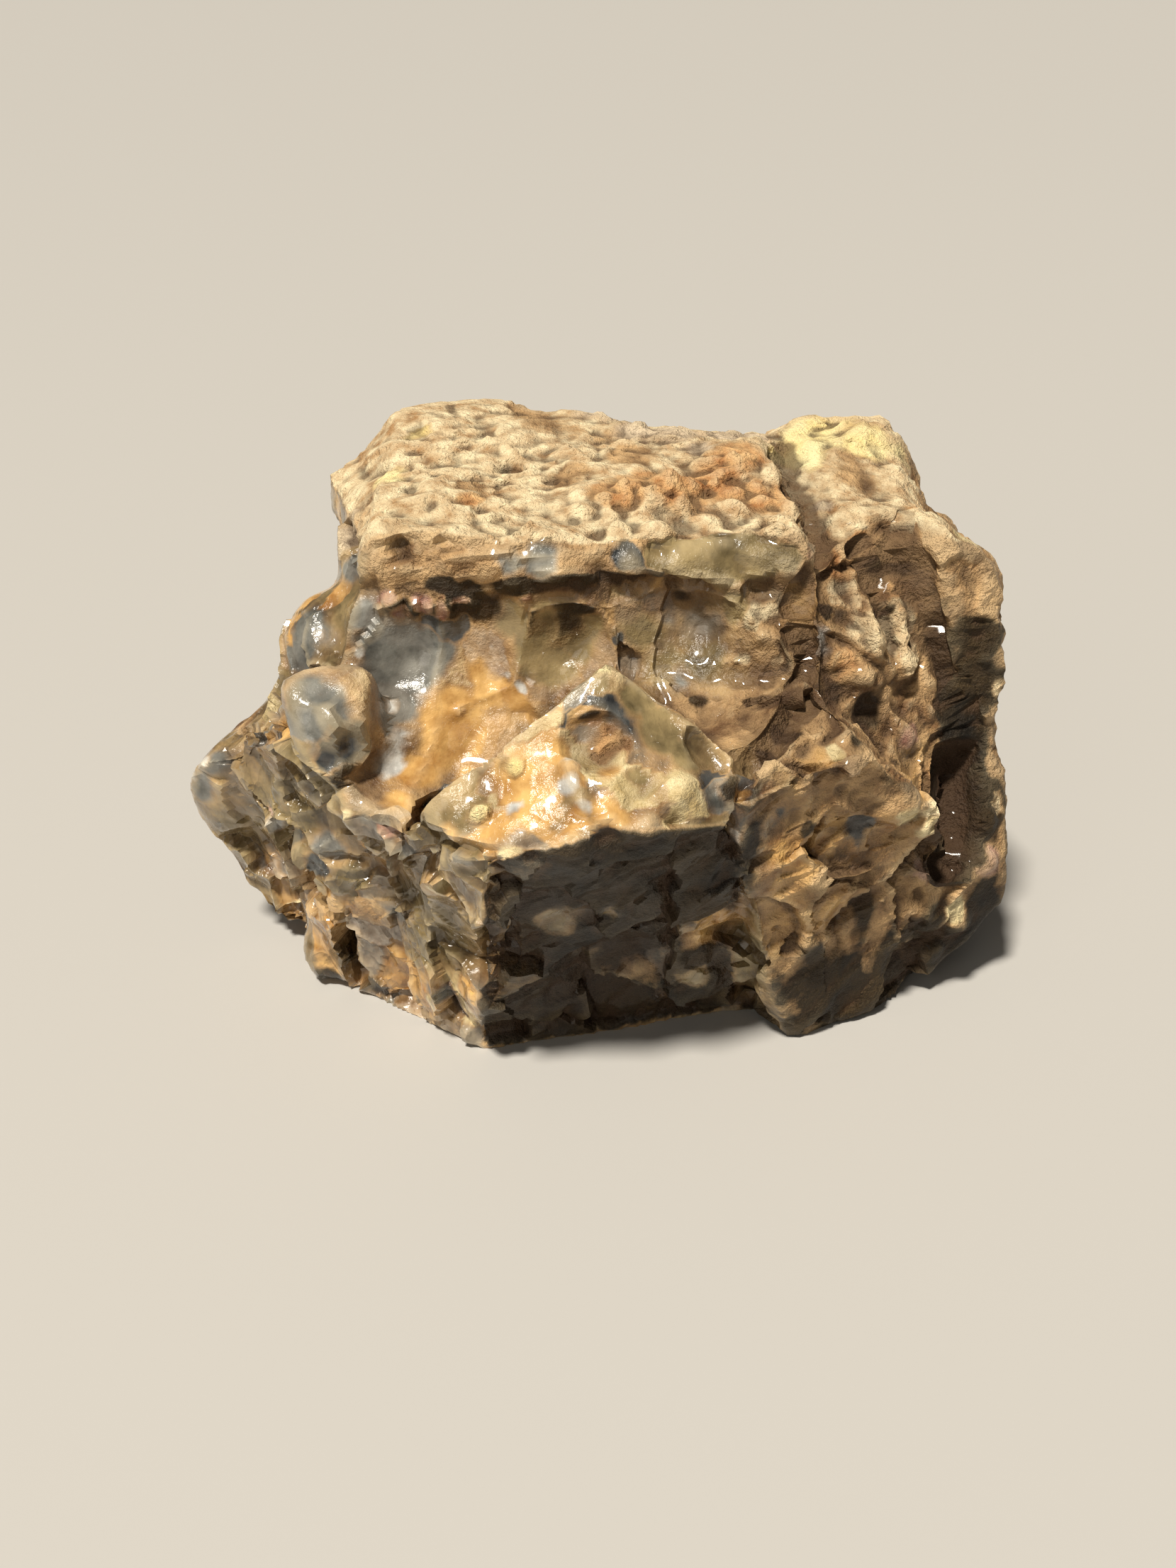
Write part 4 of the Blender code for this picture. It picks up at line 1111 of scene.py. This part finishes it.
# %% [markdown]
# ## All the relief at once
# The heights are added, each weighted by the mineral it belongs to, and every point moves out along
# its way out. Near the ground the relief fades, so that the stone keeps its resting face. In a
# tight crease the ways out cross, so points there move less and are evened over their neighbours
# afterwards. Last, two things are measured for the finish: how far a point stands out from its
# neighbours, and how much open air there is in front of it.

# %% Raise the skin
CREASED, CALM = 0.70, 0.90      # length of the mean way out in a tight crease, and on an open face
NEAR_LOOK, FAR_LOOK = 4.0, 9.0  # mm ahead, where the open air is measured

height = (chunks - 0.6 * knapped * knap + grit * sand + 0.15 * (1 - glass) * grains(skin, 3.4)
          + 1.1 * leaning_layers * np.maximum(right, 0.6 * minerals["jasper"])
          + 1.3 * upright_cracks + 1.2 * bedding + 0.4 * ledges + named + knobbly * (1 - glass))
height *= np.clip(skin[:, 2] / 2, 0, 1)
height = np.where(height < 0, height * (1 - 0.6 * between(skin[:, 0], -66, -71)), height)
mean_way = neighbour_mean(neighbour_mean(ways_out(skin, quads), edges), edges)
calm = between(np.linalg.norm(mean_way, axis=1), CREASED, CALM)
skin = skin + out * (height * calm)[:, None]
for _ in range(3):
    skin += 0.6 * (1 - calm)[:, None] * (neighbour_mean(skin, edges) - skin)
out = ways_out(skin, quads)

# how far each point stands out, and how open the air before it is: the finish paints shade and
# highlights from these
rise = ((skin - neighbour_mean(neighbour_mean(skin, edges), edges)) * out).sum(axis=1)
for _ in range(2):
    rise = 0.5 * rise + 0.5 * neighbour_mean(rise, edges)
near_air = stone(skin + NEAR_LOOK * out) / NEAR_LOOK
far_air = stone(skin + FAR_LOOK * out) / FAR_LOOK
open_air = np.clip(np.minimum(near_air, far_air), 0, 1)
print("fine relief from", height.min().round(2), "to", height.max().round(2), "mm")

# %% [markdown]
# ## The mesh
# The points go into one mesh with foreach_set, which is much faster than adding them one by one.
# They are turned into metres first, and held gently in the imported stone's box. The object itself
# stays at the frame's origin, unturned and unscaled.

# %% Put the skin into a mesh
HOLD_SOFTNESS = 0.0003      # m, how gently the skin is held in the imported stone's box
SHARP_ANGLE = 26            # degrees between two triangles, from which their edge is shaded sharp


def skin_piece(name, points, quads):
    """Each square is cut along its shorter diagonal, so that no triangle is needlessly thin."""
    one = np.linalg.norm(points[quads[:, 0]] - points[quads[:, 2]], axis=1)
    other = np.linalg.norm(points[quads[:, 1]] - points[quads[:, 3]], axis=1)
    turned = np.where((one > other)[:, None], np.roll(quads, -1, axis=1), quads)
    triangles = np.vstack((turned[:, [0, 1, 2]], turned[:, [0, 2, 3]]))
    mesh = bpy.data.meshes.new(name)
    mesh.vertices.add(len(points))
    mesh.vertices.foreach_set("co", points.astype(np.float32).ravel())
    mesh.loops.add(triangles.size)
    mesh.loops.foreach_set("vertex_index", triangles.ravel().astype(np.int32))
    mesh.polygons.add(len(triangles))
    mesh.polygons.foreach_set("loop_start", np.arange(0, triangles.size, 3, dtype=np.int32))
    mesh.update(calc_edges=True)
    mesh.validate()
    mesh.shade_smooth()
    mesh.set_sharp_from_angle(angle=np.radians(SHARP_ANGLE))
    piece = bpy.data.objects.new(name, mesh)
    bpy.context.scene.collection.objects.link(piece)
    return piece


def held(p, low, high, soft):
    """Keeps points in a box, gently: high - soft * log(1 + exp((high - p) / soft)) and so on, but
    the ground stays a hard edge."""
    p = high - soft * np.logaddexp(0, (high - p) / soft)
    lifted = low + soft * np.logaddexp(0, (p - low) / soft)
    return np.clip(np.where(np.arange(3) < 2, lifted, p), low, high)


low, high = (np.array(corner) for corner in cad_box)
placed = held((skin - LIST_ORIGIN) * MM, low, high, HOLD_SOFTNESS)
stone_skin = skin_piece("agate_stone_skin", placed, quads)
print(len(stone_skin.data.polygons), "triangles in", stone_skin.name)

# %% [markdown]
# ## What the finish needs to know
# The minerals were worked out at every point of the skin, so the material reads them from there,
# as colour attributes with four numbers each. A pattern on the object's coordinates alone couldn't
# follow the hollows. Soils, agates, and stains and shade are the shares of the minerals, though tan
# lies under all the others and needs none. Rocks has two more shares, the hollows, and the tint of
# the break. Surface has the gloss, how far a point stands out, how open the air is, and how knapped
# it is; the middle two place the painted shade and highlights.

# %% Hand the minerals to the mesh
TINTS = 2000        # more than there are flakes; the last is for points that no flake touched
MINERAL_SETS = {
    "soils": ("cream", "yellow", "orange", "gray"),
    "agates": ("blue", "honey", "olive", "milky_and_glints"),
    "stains_and_shade": ("slate_and_shade", "rose", "tan", "seam_and_shade"),
}


def colour_attribute(mesh, name, channels):
    """Four numbers for each vertex, stored as one colour."""
    attribute = mesh.attributes.new(name, "FLOAT_COLOR", "POINT")
    attribute.data.foreach_set("color", np.stack(channels, axis=1).astype(np.float32).ravel())


flake_tints, shard_tints = np.random.RandomState(4).rand(2, TINTS)
breaks = np.where(flake_depth > shard_depth, flake_tints[flake_which], shard_tints[shard_which])
gloss = glass * (1 - 0.5 * right) * (1 - 0.5 * satin)
standing_out = np.clip(0.5 + rise * 2.5, 0, 1)
for name, members in MINERAL_SETS.items():
    colour_attribute(stone_skin.data, name, [minerals[mineral] for mineral in members])
colour_attribute(stone_skin.data, "rocks", [minerals["jasper"], in_hollow, minerals["pale_and_highlights"], breaks])
colour_attribute(stone_skin.data, "surface", [gloss, standing_out, open_air, knapped])
print("attributes", [*MINERAL_SETS, "rocks", "surface"])

# %% [markdown]
# ## Clouds
# All the stone's patterns are node groups, so that one pattern can be used for every mineral with
# its own size and tones. Clouds is the simplest: it turns noise into soft drifts of a given size.
# A few helpers come first, because a node and its links take many lines to write out.

# %% Make the clouds
def node(tree, kind, inputs=None, **settings):
    """Adds a node, sets its settings, and fills or links its inputs."""
    made = tree.nodes.new(kind)
    for key, value in settings.items():
        setattr(made, key, value)
    for key, value in (inputs or {}).items():
        if isinstance(value, bpy.types.NodeSocket):
            tree.links.new(value, made.inputs[key])
        else:
            made.inputs[key].default_value = value
    return made


def math(tree, operation, a, b=0.0, clamp=False):
    """One sum of two numbers or sockets, and its result."""
    return node(tree, "ShaderNodeMath", {0: a, 1: b}, operation=operation, use_clamp=clamp).outputs[0]


def group(name, sockets, outputs):
    """An empty node group with named inputs and outputs."""
    tree = bpy.data.node_groups.new(name, "ShaderNodeTree")
    for socket, kind, value in sockets:
        made = tree.interface.new_socket(socket, in_out="INPUT", socket_type=kind)
        if value is not None:
            made.default_value = value
    for socket, kind in outputs:
        tree.interface.new_socket(socket, in_out="OUTPUT", socket_type=kind)
    return tree, tree.nodes.new("NodeGroupInput").outputs, tree.nodes.new("NodeGroupOutput").inputs


FLOAT, VECTOR, COLOUR = "NodeSocketFloat", "NodeSocketVector", "NodeSocketColor"


def noise(tree, place, size, detail=4.0, roughness=0.55):
    """Fractal noise at places in mm; size is the length of its longest waves."""
    scale = math(tree, "DIVIDE", 1.0, size)
    made = node(tree, "ShaderNodeTexNoise", {"Vector": place, "Scale": scale, "Detail": detail,
                                             "Roughness": roughness})
    return made.outputs["Fac"]


def clouds_group():
    """Soft drifts: (noise - 1/2) * contrast + 1/2."""
    tree, given, result = group("clouds", [("Place", VECTOR, None), ("Size", FLOAT, 5.0),
                                           ("Contrast", FLOAT, 2.0)], [("Cloud", FLOAT)])
    drift = noise(tree, given["Place"], given["Size"])
    centred_drift = math(tree, "SUBTRACT", drift, 0.5)
    stretched = math(tree, "MULTIPLY", centred_drift, given["Contrast"])
    tree.links.new(math(tree, "ADD", stretched, 0.5, clamp=True), result["Cloud"])
    return tree


CLOUDS = clouds_group()
print(CLOUDS.name, "has the sockets", [item.name for item in CLOUDS.interface.items_tree])

# %% [markdown]
# ## Ragged edges and mottles
# A mineral's share changes smoothly across the skin, but real borders fray. Ragged edge adds noise
# of a given size to the share and then makes it firm. Mottle mixes two tones of a mineral by its
# own clouds and by the tint of the break, because agate is never of one colour.

# %% Make the ragged edge and the mottle
def mix(tree, share, a, b):
    """One colour over another."""
    made = node(tree, "ShaderNodeMix", data_type="RGBA", clamp_factor=True)
    sockets = {"Factor_Float": share, "A_Color": a, "B_Color": b}
    for socket in made.inputs:
        if socket.identifier in sockets:
            value = sockets[socket.identifier]
            if isinstance(value, bpy.types.NodeSocket):
                tree.links.new(value, socket)
            else:
                socket.default_value = value
    return next(s for s in made.outputs if s.identifier == "Result_Color")


def ragged_edge_group():
    """A frayed border: (share + (noise - 1/2) * fray - 1/2) * firmness + 1/2."""
    tree, given, result = group(
        "ragged_edge", [("Share", FLOAT, 0.5), ("Place", VECTOR, None), ("Size", FLOAT, 2.0),
                        ("Fray", FLOAT, 0.45), ("Firmness", FLOAT, 4.0)], [("Share", FLOAT)])
    drift = math(tree, "SUBTRACT", noise(tree, given["Place"], given["Size"]), 0.5)
    frayed = math(tree, "ADD", given["Share"], math(tree, "MULTIPLY", drift, given["Fray"]))
    lifted = math(tree, "MULTIPLY", math(tree, "SUBTRACT", frayed, 0.5), given["Firmness"])
    tree.links.new(math(tree, "ADD", lifted, 0.5, clamp=True), result["Share"])
    return tree


def mottle_group(clouds):
    """Dark and light mixed by the clouds, moved a little by the tint."""
    tree, given, result = group(
        "mottle", [("Place", VECTOR, None), ("Size", FLOAT, 5.0), ("Dark", COLOUR, (0, 0, 0, 1)),
                   ("Light", COLOUR, (1, 1, 1, 1)), ("Tint", FLOAT, 0.5)], [("Color", COLOUR)])
    drift = node(tree, "ShaderNodeGroup", {"Place": given["Place"], "Size": given["Size"],
                                           "Contrast": 2.6}, node_tree=clouds).outputs["Cloud"]
    push = math(tree, "MULTIPLY", math(tree, "SUBTRACT", given["Tint"], 0.5), 0.6)
    shifted = math(tree, "ADD", drift, push)
    tree.links.new(mix(tree, shifted, given["Dark"], given["Light"]), result["Color"])
    return tree


RAGGED_EDGE = ragged_edge_group()
MOTTLE = mottle_group(CLOUDS)
print(MOTTLE.name, "has the sockets", [item.name for item in MOTTLE.interface.items_tree])

# %% [markdown]
# ## Chips
# The smallest breaks are finer than the mesh's triangles. They are cells of a Voronoi pattern, with
# a dish in each cell for the bump and a tint for the colour. Noise moves the places first, because
# straight cell walls would look like mosaic.

# %% Make the chips
def chips_group():
    """Little shell-shaped chips, a dish in each cell: size times the square of the distance from the
    cell's middle. And one random tint for each cell."""
    tree, given, result = group("chips", [("Place", VECTOR, None), ("Size", FLOAT, 3.0)],
                                [("Height", FLOAT), ("Tint", FLOAT)])
    stir = node(tree, "ShaderNodeTexNoise", {"Vector": given["Place"], "Scale": 0.35, "Detail": 2.0})
    push = node(tree, "ShaderNodeVectorMath", {0: stir.outputs["Color"], 1: (2.0, 2.0, 2.0)},
                operation="MULTIPLY").outputs[0]
    moved = node(tree, "ShaderNodeVectorMath", {0: given["Place"], 1: push},
                 operation="ADD").outputs[0]
    scale = math(tree, "DIVIDE", 1.0, given["Size"])
    cells = node(tree, "ShaderNodeTexVoronoi", {"Vector": moved, "Scale": scale, "Randomness": 1.0})
    dish = math(tree, "POWER", cells.outputs["Distance"], 2.0)
    tree.links.new(math(tree, "MULTIPLY", dish, given["Size"]), result["Height"])
    split = node(tree, "ShaderNodeSeparateColor", {"Color": cells.outputs["Color"]})
    tree.links.new(split.outputs[0], result["Tint"])
    return tree


CHIPS = chips_group()
print("groups", [made.name for made in bpy.data.node_groups])

# %% [markdown]
# ## The minerals' tones
# Each mineral has a dark tone and a light tone that its clouds drift between. The skin starts as tan
# rind, and the minerals are laid over it one after the other, each behind its own ragged edge.
# The agates come late, because they are what the breaks laid bare, and the red seam comes last.
# The seam's dark tone, and the near-black tones of jasper and slate, also paint shade.

# %% List the tones and lay the minerals
TONES = {   # dark tone, light tone, size of the drifts in mm, of the fraying edge in mm, firmness
    "tan": ((0.15, 0.075, 0.030), (0.60, 0.39, 0.19), 6.0, 2.0, 3.0),
    "cream": ((0.40, 0.225, 0.095), (0.86, 0.73, 0.47), 3.2, 1.6, 2.5),
    "yellow": ((0.78, 0.58, 0.22), (0.92, 0.82, 0.46), 9.0, 3.0, 2.0),
    "orange": ((0.40, 0.17, 0.055), (0.76, 0.49, 0.23), 3.5, 2.0, 1.3),
    "gray": ((0.36, 0.27, 0.18), (0.70, 0.57, 0.40), 3.5, 2.0, 1.8),
    # jasper's tones are near black because they also paint shade
    "jasper": ((0.008, 0.005, 0.002), (0.050, 0.030, 0.010), 9.0, 2.0, 3.0),
    "olive": ((0.080, 0.060, 0.028), (0.34, 0.255, 0.120), 6.0, 2.5, 1.4),
    "honey": ((0.32, 0.145, 0.032), (0.72, 0.45, 0.165), 4.5, 2.5, 1.4),
    "blue": ((0.060, 0.062, 0.056), (0.27, 0.265, 0.235), 6.0, 2.5, 1.4),
    # milky: agate tones that also paint small glints
    "milky_and_glints": ((0.30, 0.30, 0.29), (0.70, 0.69, 0.64), 3.0, 1.5, 1.6),
    # pale: agate tones that also paint highlights on edges
    "pale_and_highlights": ((0.46, 0.34, 0.15), (0.80, 0.68, 0.40), 4.0, 1.5, 2.0),
    # slate's tones are near black because they also paint shade
    "slate_and_shade": ((0.018, 0.020, 0.022), (0.095, 0.098, 0.095), 4.0, 1.5, 2.5),
    "rose": ((0.22, 0.085, 0.055), (0.62, 0.40, 0.29), 3.0, 1.2, 2.0),
    # the seam's dark tone is painted shade in the crease, its light tone the red-brown seam
    "seam_and_shade": ((0.035, 0.012, 0.007), (0.36, 0.17, 0.09), 2.5, 1.2, 2.5),
}


def mineral_colour(tree, place, layers, tint):
    """Tan rind, with each mineral's mottled tone laid over it behind the mineral's ragged edge."""
    def tones(name):
        """The mottle of one mineral's two tones."""
        dark, light, size = TONES[name][:3]
        return node(tree, "ShaderNodeGroup",
                    {"Place": place, "Size": size, "Dark": (*dark, 1), "Light": (*light, 1),
                     "Tint": tint}, node_tree=MOTTLE, label=name).outputs["Color"]

    colour = tones("tan")
    for name, share in layers.items():
        edge = node(tree, "ShaderNodeGroup", {"Share": share, "Place": place, "Size": TONES[name][3],
                                              "Firmness": TONES[name][4]}, node_tree=RAGGED_EDGE)
        colour = mix(tree, edge.outputs["Share"], colour, tones(name))
    return colour


print("tones for", list(TONES))

# %% [markdown]
# ## Painted shade and highlights
# Shade is painted into what lies deep, and more where little air is open, but less on glass. Edges
# that stand out get a pale painted highlight, except on jasper. Two numbers tell where: how far a
# point stands out from its neighbours, and how open the air before it is.

# %% Paint shade and highlights into the colours
# painted shade for crevices and for shut-in places, and a pale painted highlight for proud edges
CREVICE_SHADE, OCCLUDED_SHADE = (0.07, 0.038, 0.018, 1), (0.05, 0.026, 0.013, 1)
EDGE_HIGHLIGHT = (0.80, 0.66, 0.42, 1)


def paint_shade_and_highlights(tree, colour, glass, rise, open_air, jasper):
    """Painted shade in what lies deep, more of it where little air is open, and pale painted
    highlights on proud edges.
    """
    # painted shade in crevices, where a point lies below its neighbours, with less of it on glass
    in_crevice = math(tree, "MULTIPLY", math(tree, "SUBTRACT", 0.5, rise), 3.0, clamp=True)
    shade_weight = math(tree, "SUBTRACT", 1.0, math(tree, "MULTIPLY", glass, 0.65))
    in_crevice = math(tree, "MULTIPLY", math(tree, "MULTIPLY", in_crevice, 0.75), shade_weight)
    colour = mix(tree, in_crevice, colour, CREVICE_SHADE)
    # painted shade where little air is open before the point
    occluded = math(tree, "MULTIPLY", math(tree, "SUBTRACT", 0.75, open_air), 1.3, clamp=True)
    occluded = math(tree, "MULTIPLY", math(tree, "MULTIPLY", occluded, 0.5), shade_weight)
    colour = mix(tree, occluded, colour, OCCLUDED_SHADE)
    # a pale painted highlight on edges that stand out, except on jasper
    lit_edge = math(tree, "MULTIPLY", math(tree, "SUBTRACT", rise, 0.58), 1.8, clamp=True)
    lit_edge = math(tree, "MULTIPLY", lit_edge, math(tree, "SUBTRACT", 1.0, jasper))
    return mix(tree, math(tree, "MULTIPLY", lit_edge, 0.35), colour, EDGE_HIGHLIGHT)


print("crevice_shade", CREVICE_SHADE, "highlit edge", EDGE_HIGHLIGHT)

# %% [markdown]
# ## The stone's finish
# One material holds the whole skin, because the minerals run into each other. Agate is as smooth as
# glass and wet-looking, so it has a clear coat, and crust is dull. Every form that the eye can
# follow is in the mesh. Only grit, chips and soft swells too small for its triangles are bump.

# %% Finish the stone
CHIP_SIZES = (4.5, 2.2)         # mm
LONG_CHIPS = (1, 1, 0.6)        # less than one makes a chip longer that way
SPECULAR, COAT_ROUGHNESS = 0.3, 0.07


def channels(tree, name):
    """The four numbers of a colour attribute."""
    read = node(tree, "ShaderNodeAttribute", attribute_name=name)
    split = node(tree, "ShaderNodeSeparateColor", {"Color": read.outputs["Color"]})
    return [*split.outputs, read.outputs["Alpha"]]


def bump_height(tree, place, chips, dull, knapping, in_hollow):
    """Grit on what is dull, chips on what is knapped, and soft swells in the glassy hollows."""
    speck = noise(tree, place, 0.9, 3.0, 0.7)
    pit = noise(tree, place, 2.2, 4.0, 0.6)
    gritty = math(tree, "MULTIPLY", math(tree, "ADD", speck, pit), math(tree, "ADD", dull, 0.10))
    chipped = math(tree, "ADD", chips[0]["Height"], chips[1]["Height"])
    chipped = math(tree, "MULTIPLY", math(tree, "MULTIPLY", chipped, knapping), 0.35)
    swells = math(tree, "MULTIPLY", noise(tree, place, 7.0, 1.0),
                  math(tree, "MULTIPLY", in_hollow, 1.5))
    return math(tree, "ADD", gritty, math(tree, "ADD", chipped, swells))


def stone_finish():
    """The one material of the skin. It works in millimetres, so places are scaled by a thousand."""
    material = bpy.data.materials.new("jasper_and_agate")
    material.use_nodes = True
    tree = material.node_tree
    shader = tree.nodes["Principled BSDF"]
    where = node(tree, "ShaderNodeTexCoord").outputs["Object"]
    place = node(tree, "ShaderNodeMapping", {"Vector": where, "Scale": (1 / MM,) * 3}).outputs[0]
    long_place = node(tree, "ShaderNodeMapping", {"Vector": place, "Scale": LONG_CHIPS}).outputs[0]
    jasper, in_hollow, pale_and_highlights, tint = channels(tree, "rocks")
    slate_and_shade, rose, _, seam_and_shade = channels(tree, "stains_and_shade")
    glass, rise, open_air, knapping = channels(tree, "surface")
    layers = dict(zip(MINERAL_SETS["soils"], channels(tree, "soils")))
    layers.update({"pale_and_highlights": pale_and_highlights, "jasper": jasper, "rose": rose, "slate_and_shade": slate_and_shade})
    layers.update(zip(MINERAL_SETS["agates"], channels(tree, "agates")))
    layers["seam_and_shade"] = seam_and_shade

    chips = [node(tree, "ShaderNodeGroup", {"Place": long_place, "Size": size},
                  node_tree=CHIPS).outputs for size in CHIP_SIZES]
    chip_tints = math(tree, "MULTIPLY", math(tree, "ADD", chips[0]["Tint"], chips[1]["Tint"]), 0.5)
    tint = math(tree, "ADD", math(tree, "MULTIPLY", tint, 0.6),
                math(tree, "MULTIPLY", chip_tints, 0.4))
    colour = mineral_colour(tree, place, layers, tint)
    colour = paint_shade_and_highlights(tree, colour, glass, rise, open_air, jasper)
    tree.links.new(colour, shader.inputs["Base Color"])

    dull = math(tree, "SUBTRACT", 1.0, glass)
    rough = math(tree, "ADD", math(tree, "MULTIPLY", dull, 0.55),
                 math(tree, "MULTIPLY", noise(tree, place, 3.0), 0.35))
    tree.links.new(math(tree, "ADD", rough, 0.02, clamp=True), shader.inputs["Roughness"])
    tree.links.new(math(tree, "MULTIPLY", glass, 0.8), shader.inputs["Coat Weight"])
    shader.inputs["Specular IOR Level"].default_value = SPECULAR
    shader.inputs["Coat Roughness"].default_value = COAT_ROUGHNESS
    fine = bump_height(tree, place, chips, dull, knapping, in_hollow)
    bump = node(tree, "ShaderNodeBump", {"Height": fine, "Distance": MM, "Strength": 1.0})
    tree.links.new(bump.outputs["Normal"], shader.inputs["Normal"])
    return material


stone_skin.data.materials.append(stone_finish())
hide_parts("agate_stone")
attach(stone_skin, "root")
print("nodes in the finish", len(stone_skin.data.materials[0].node_tree.nodes))
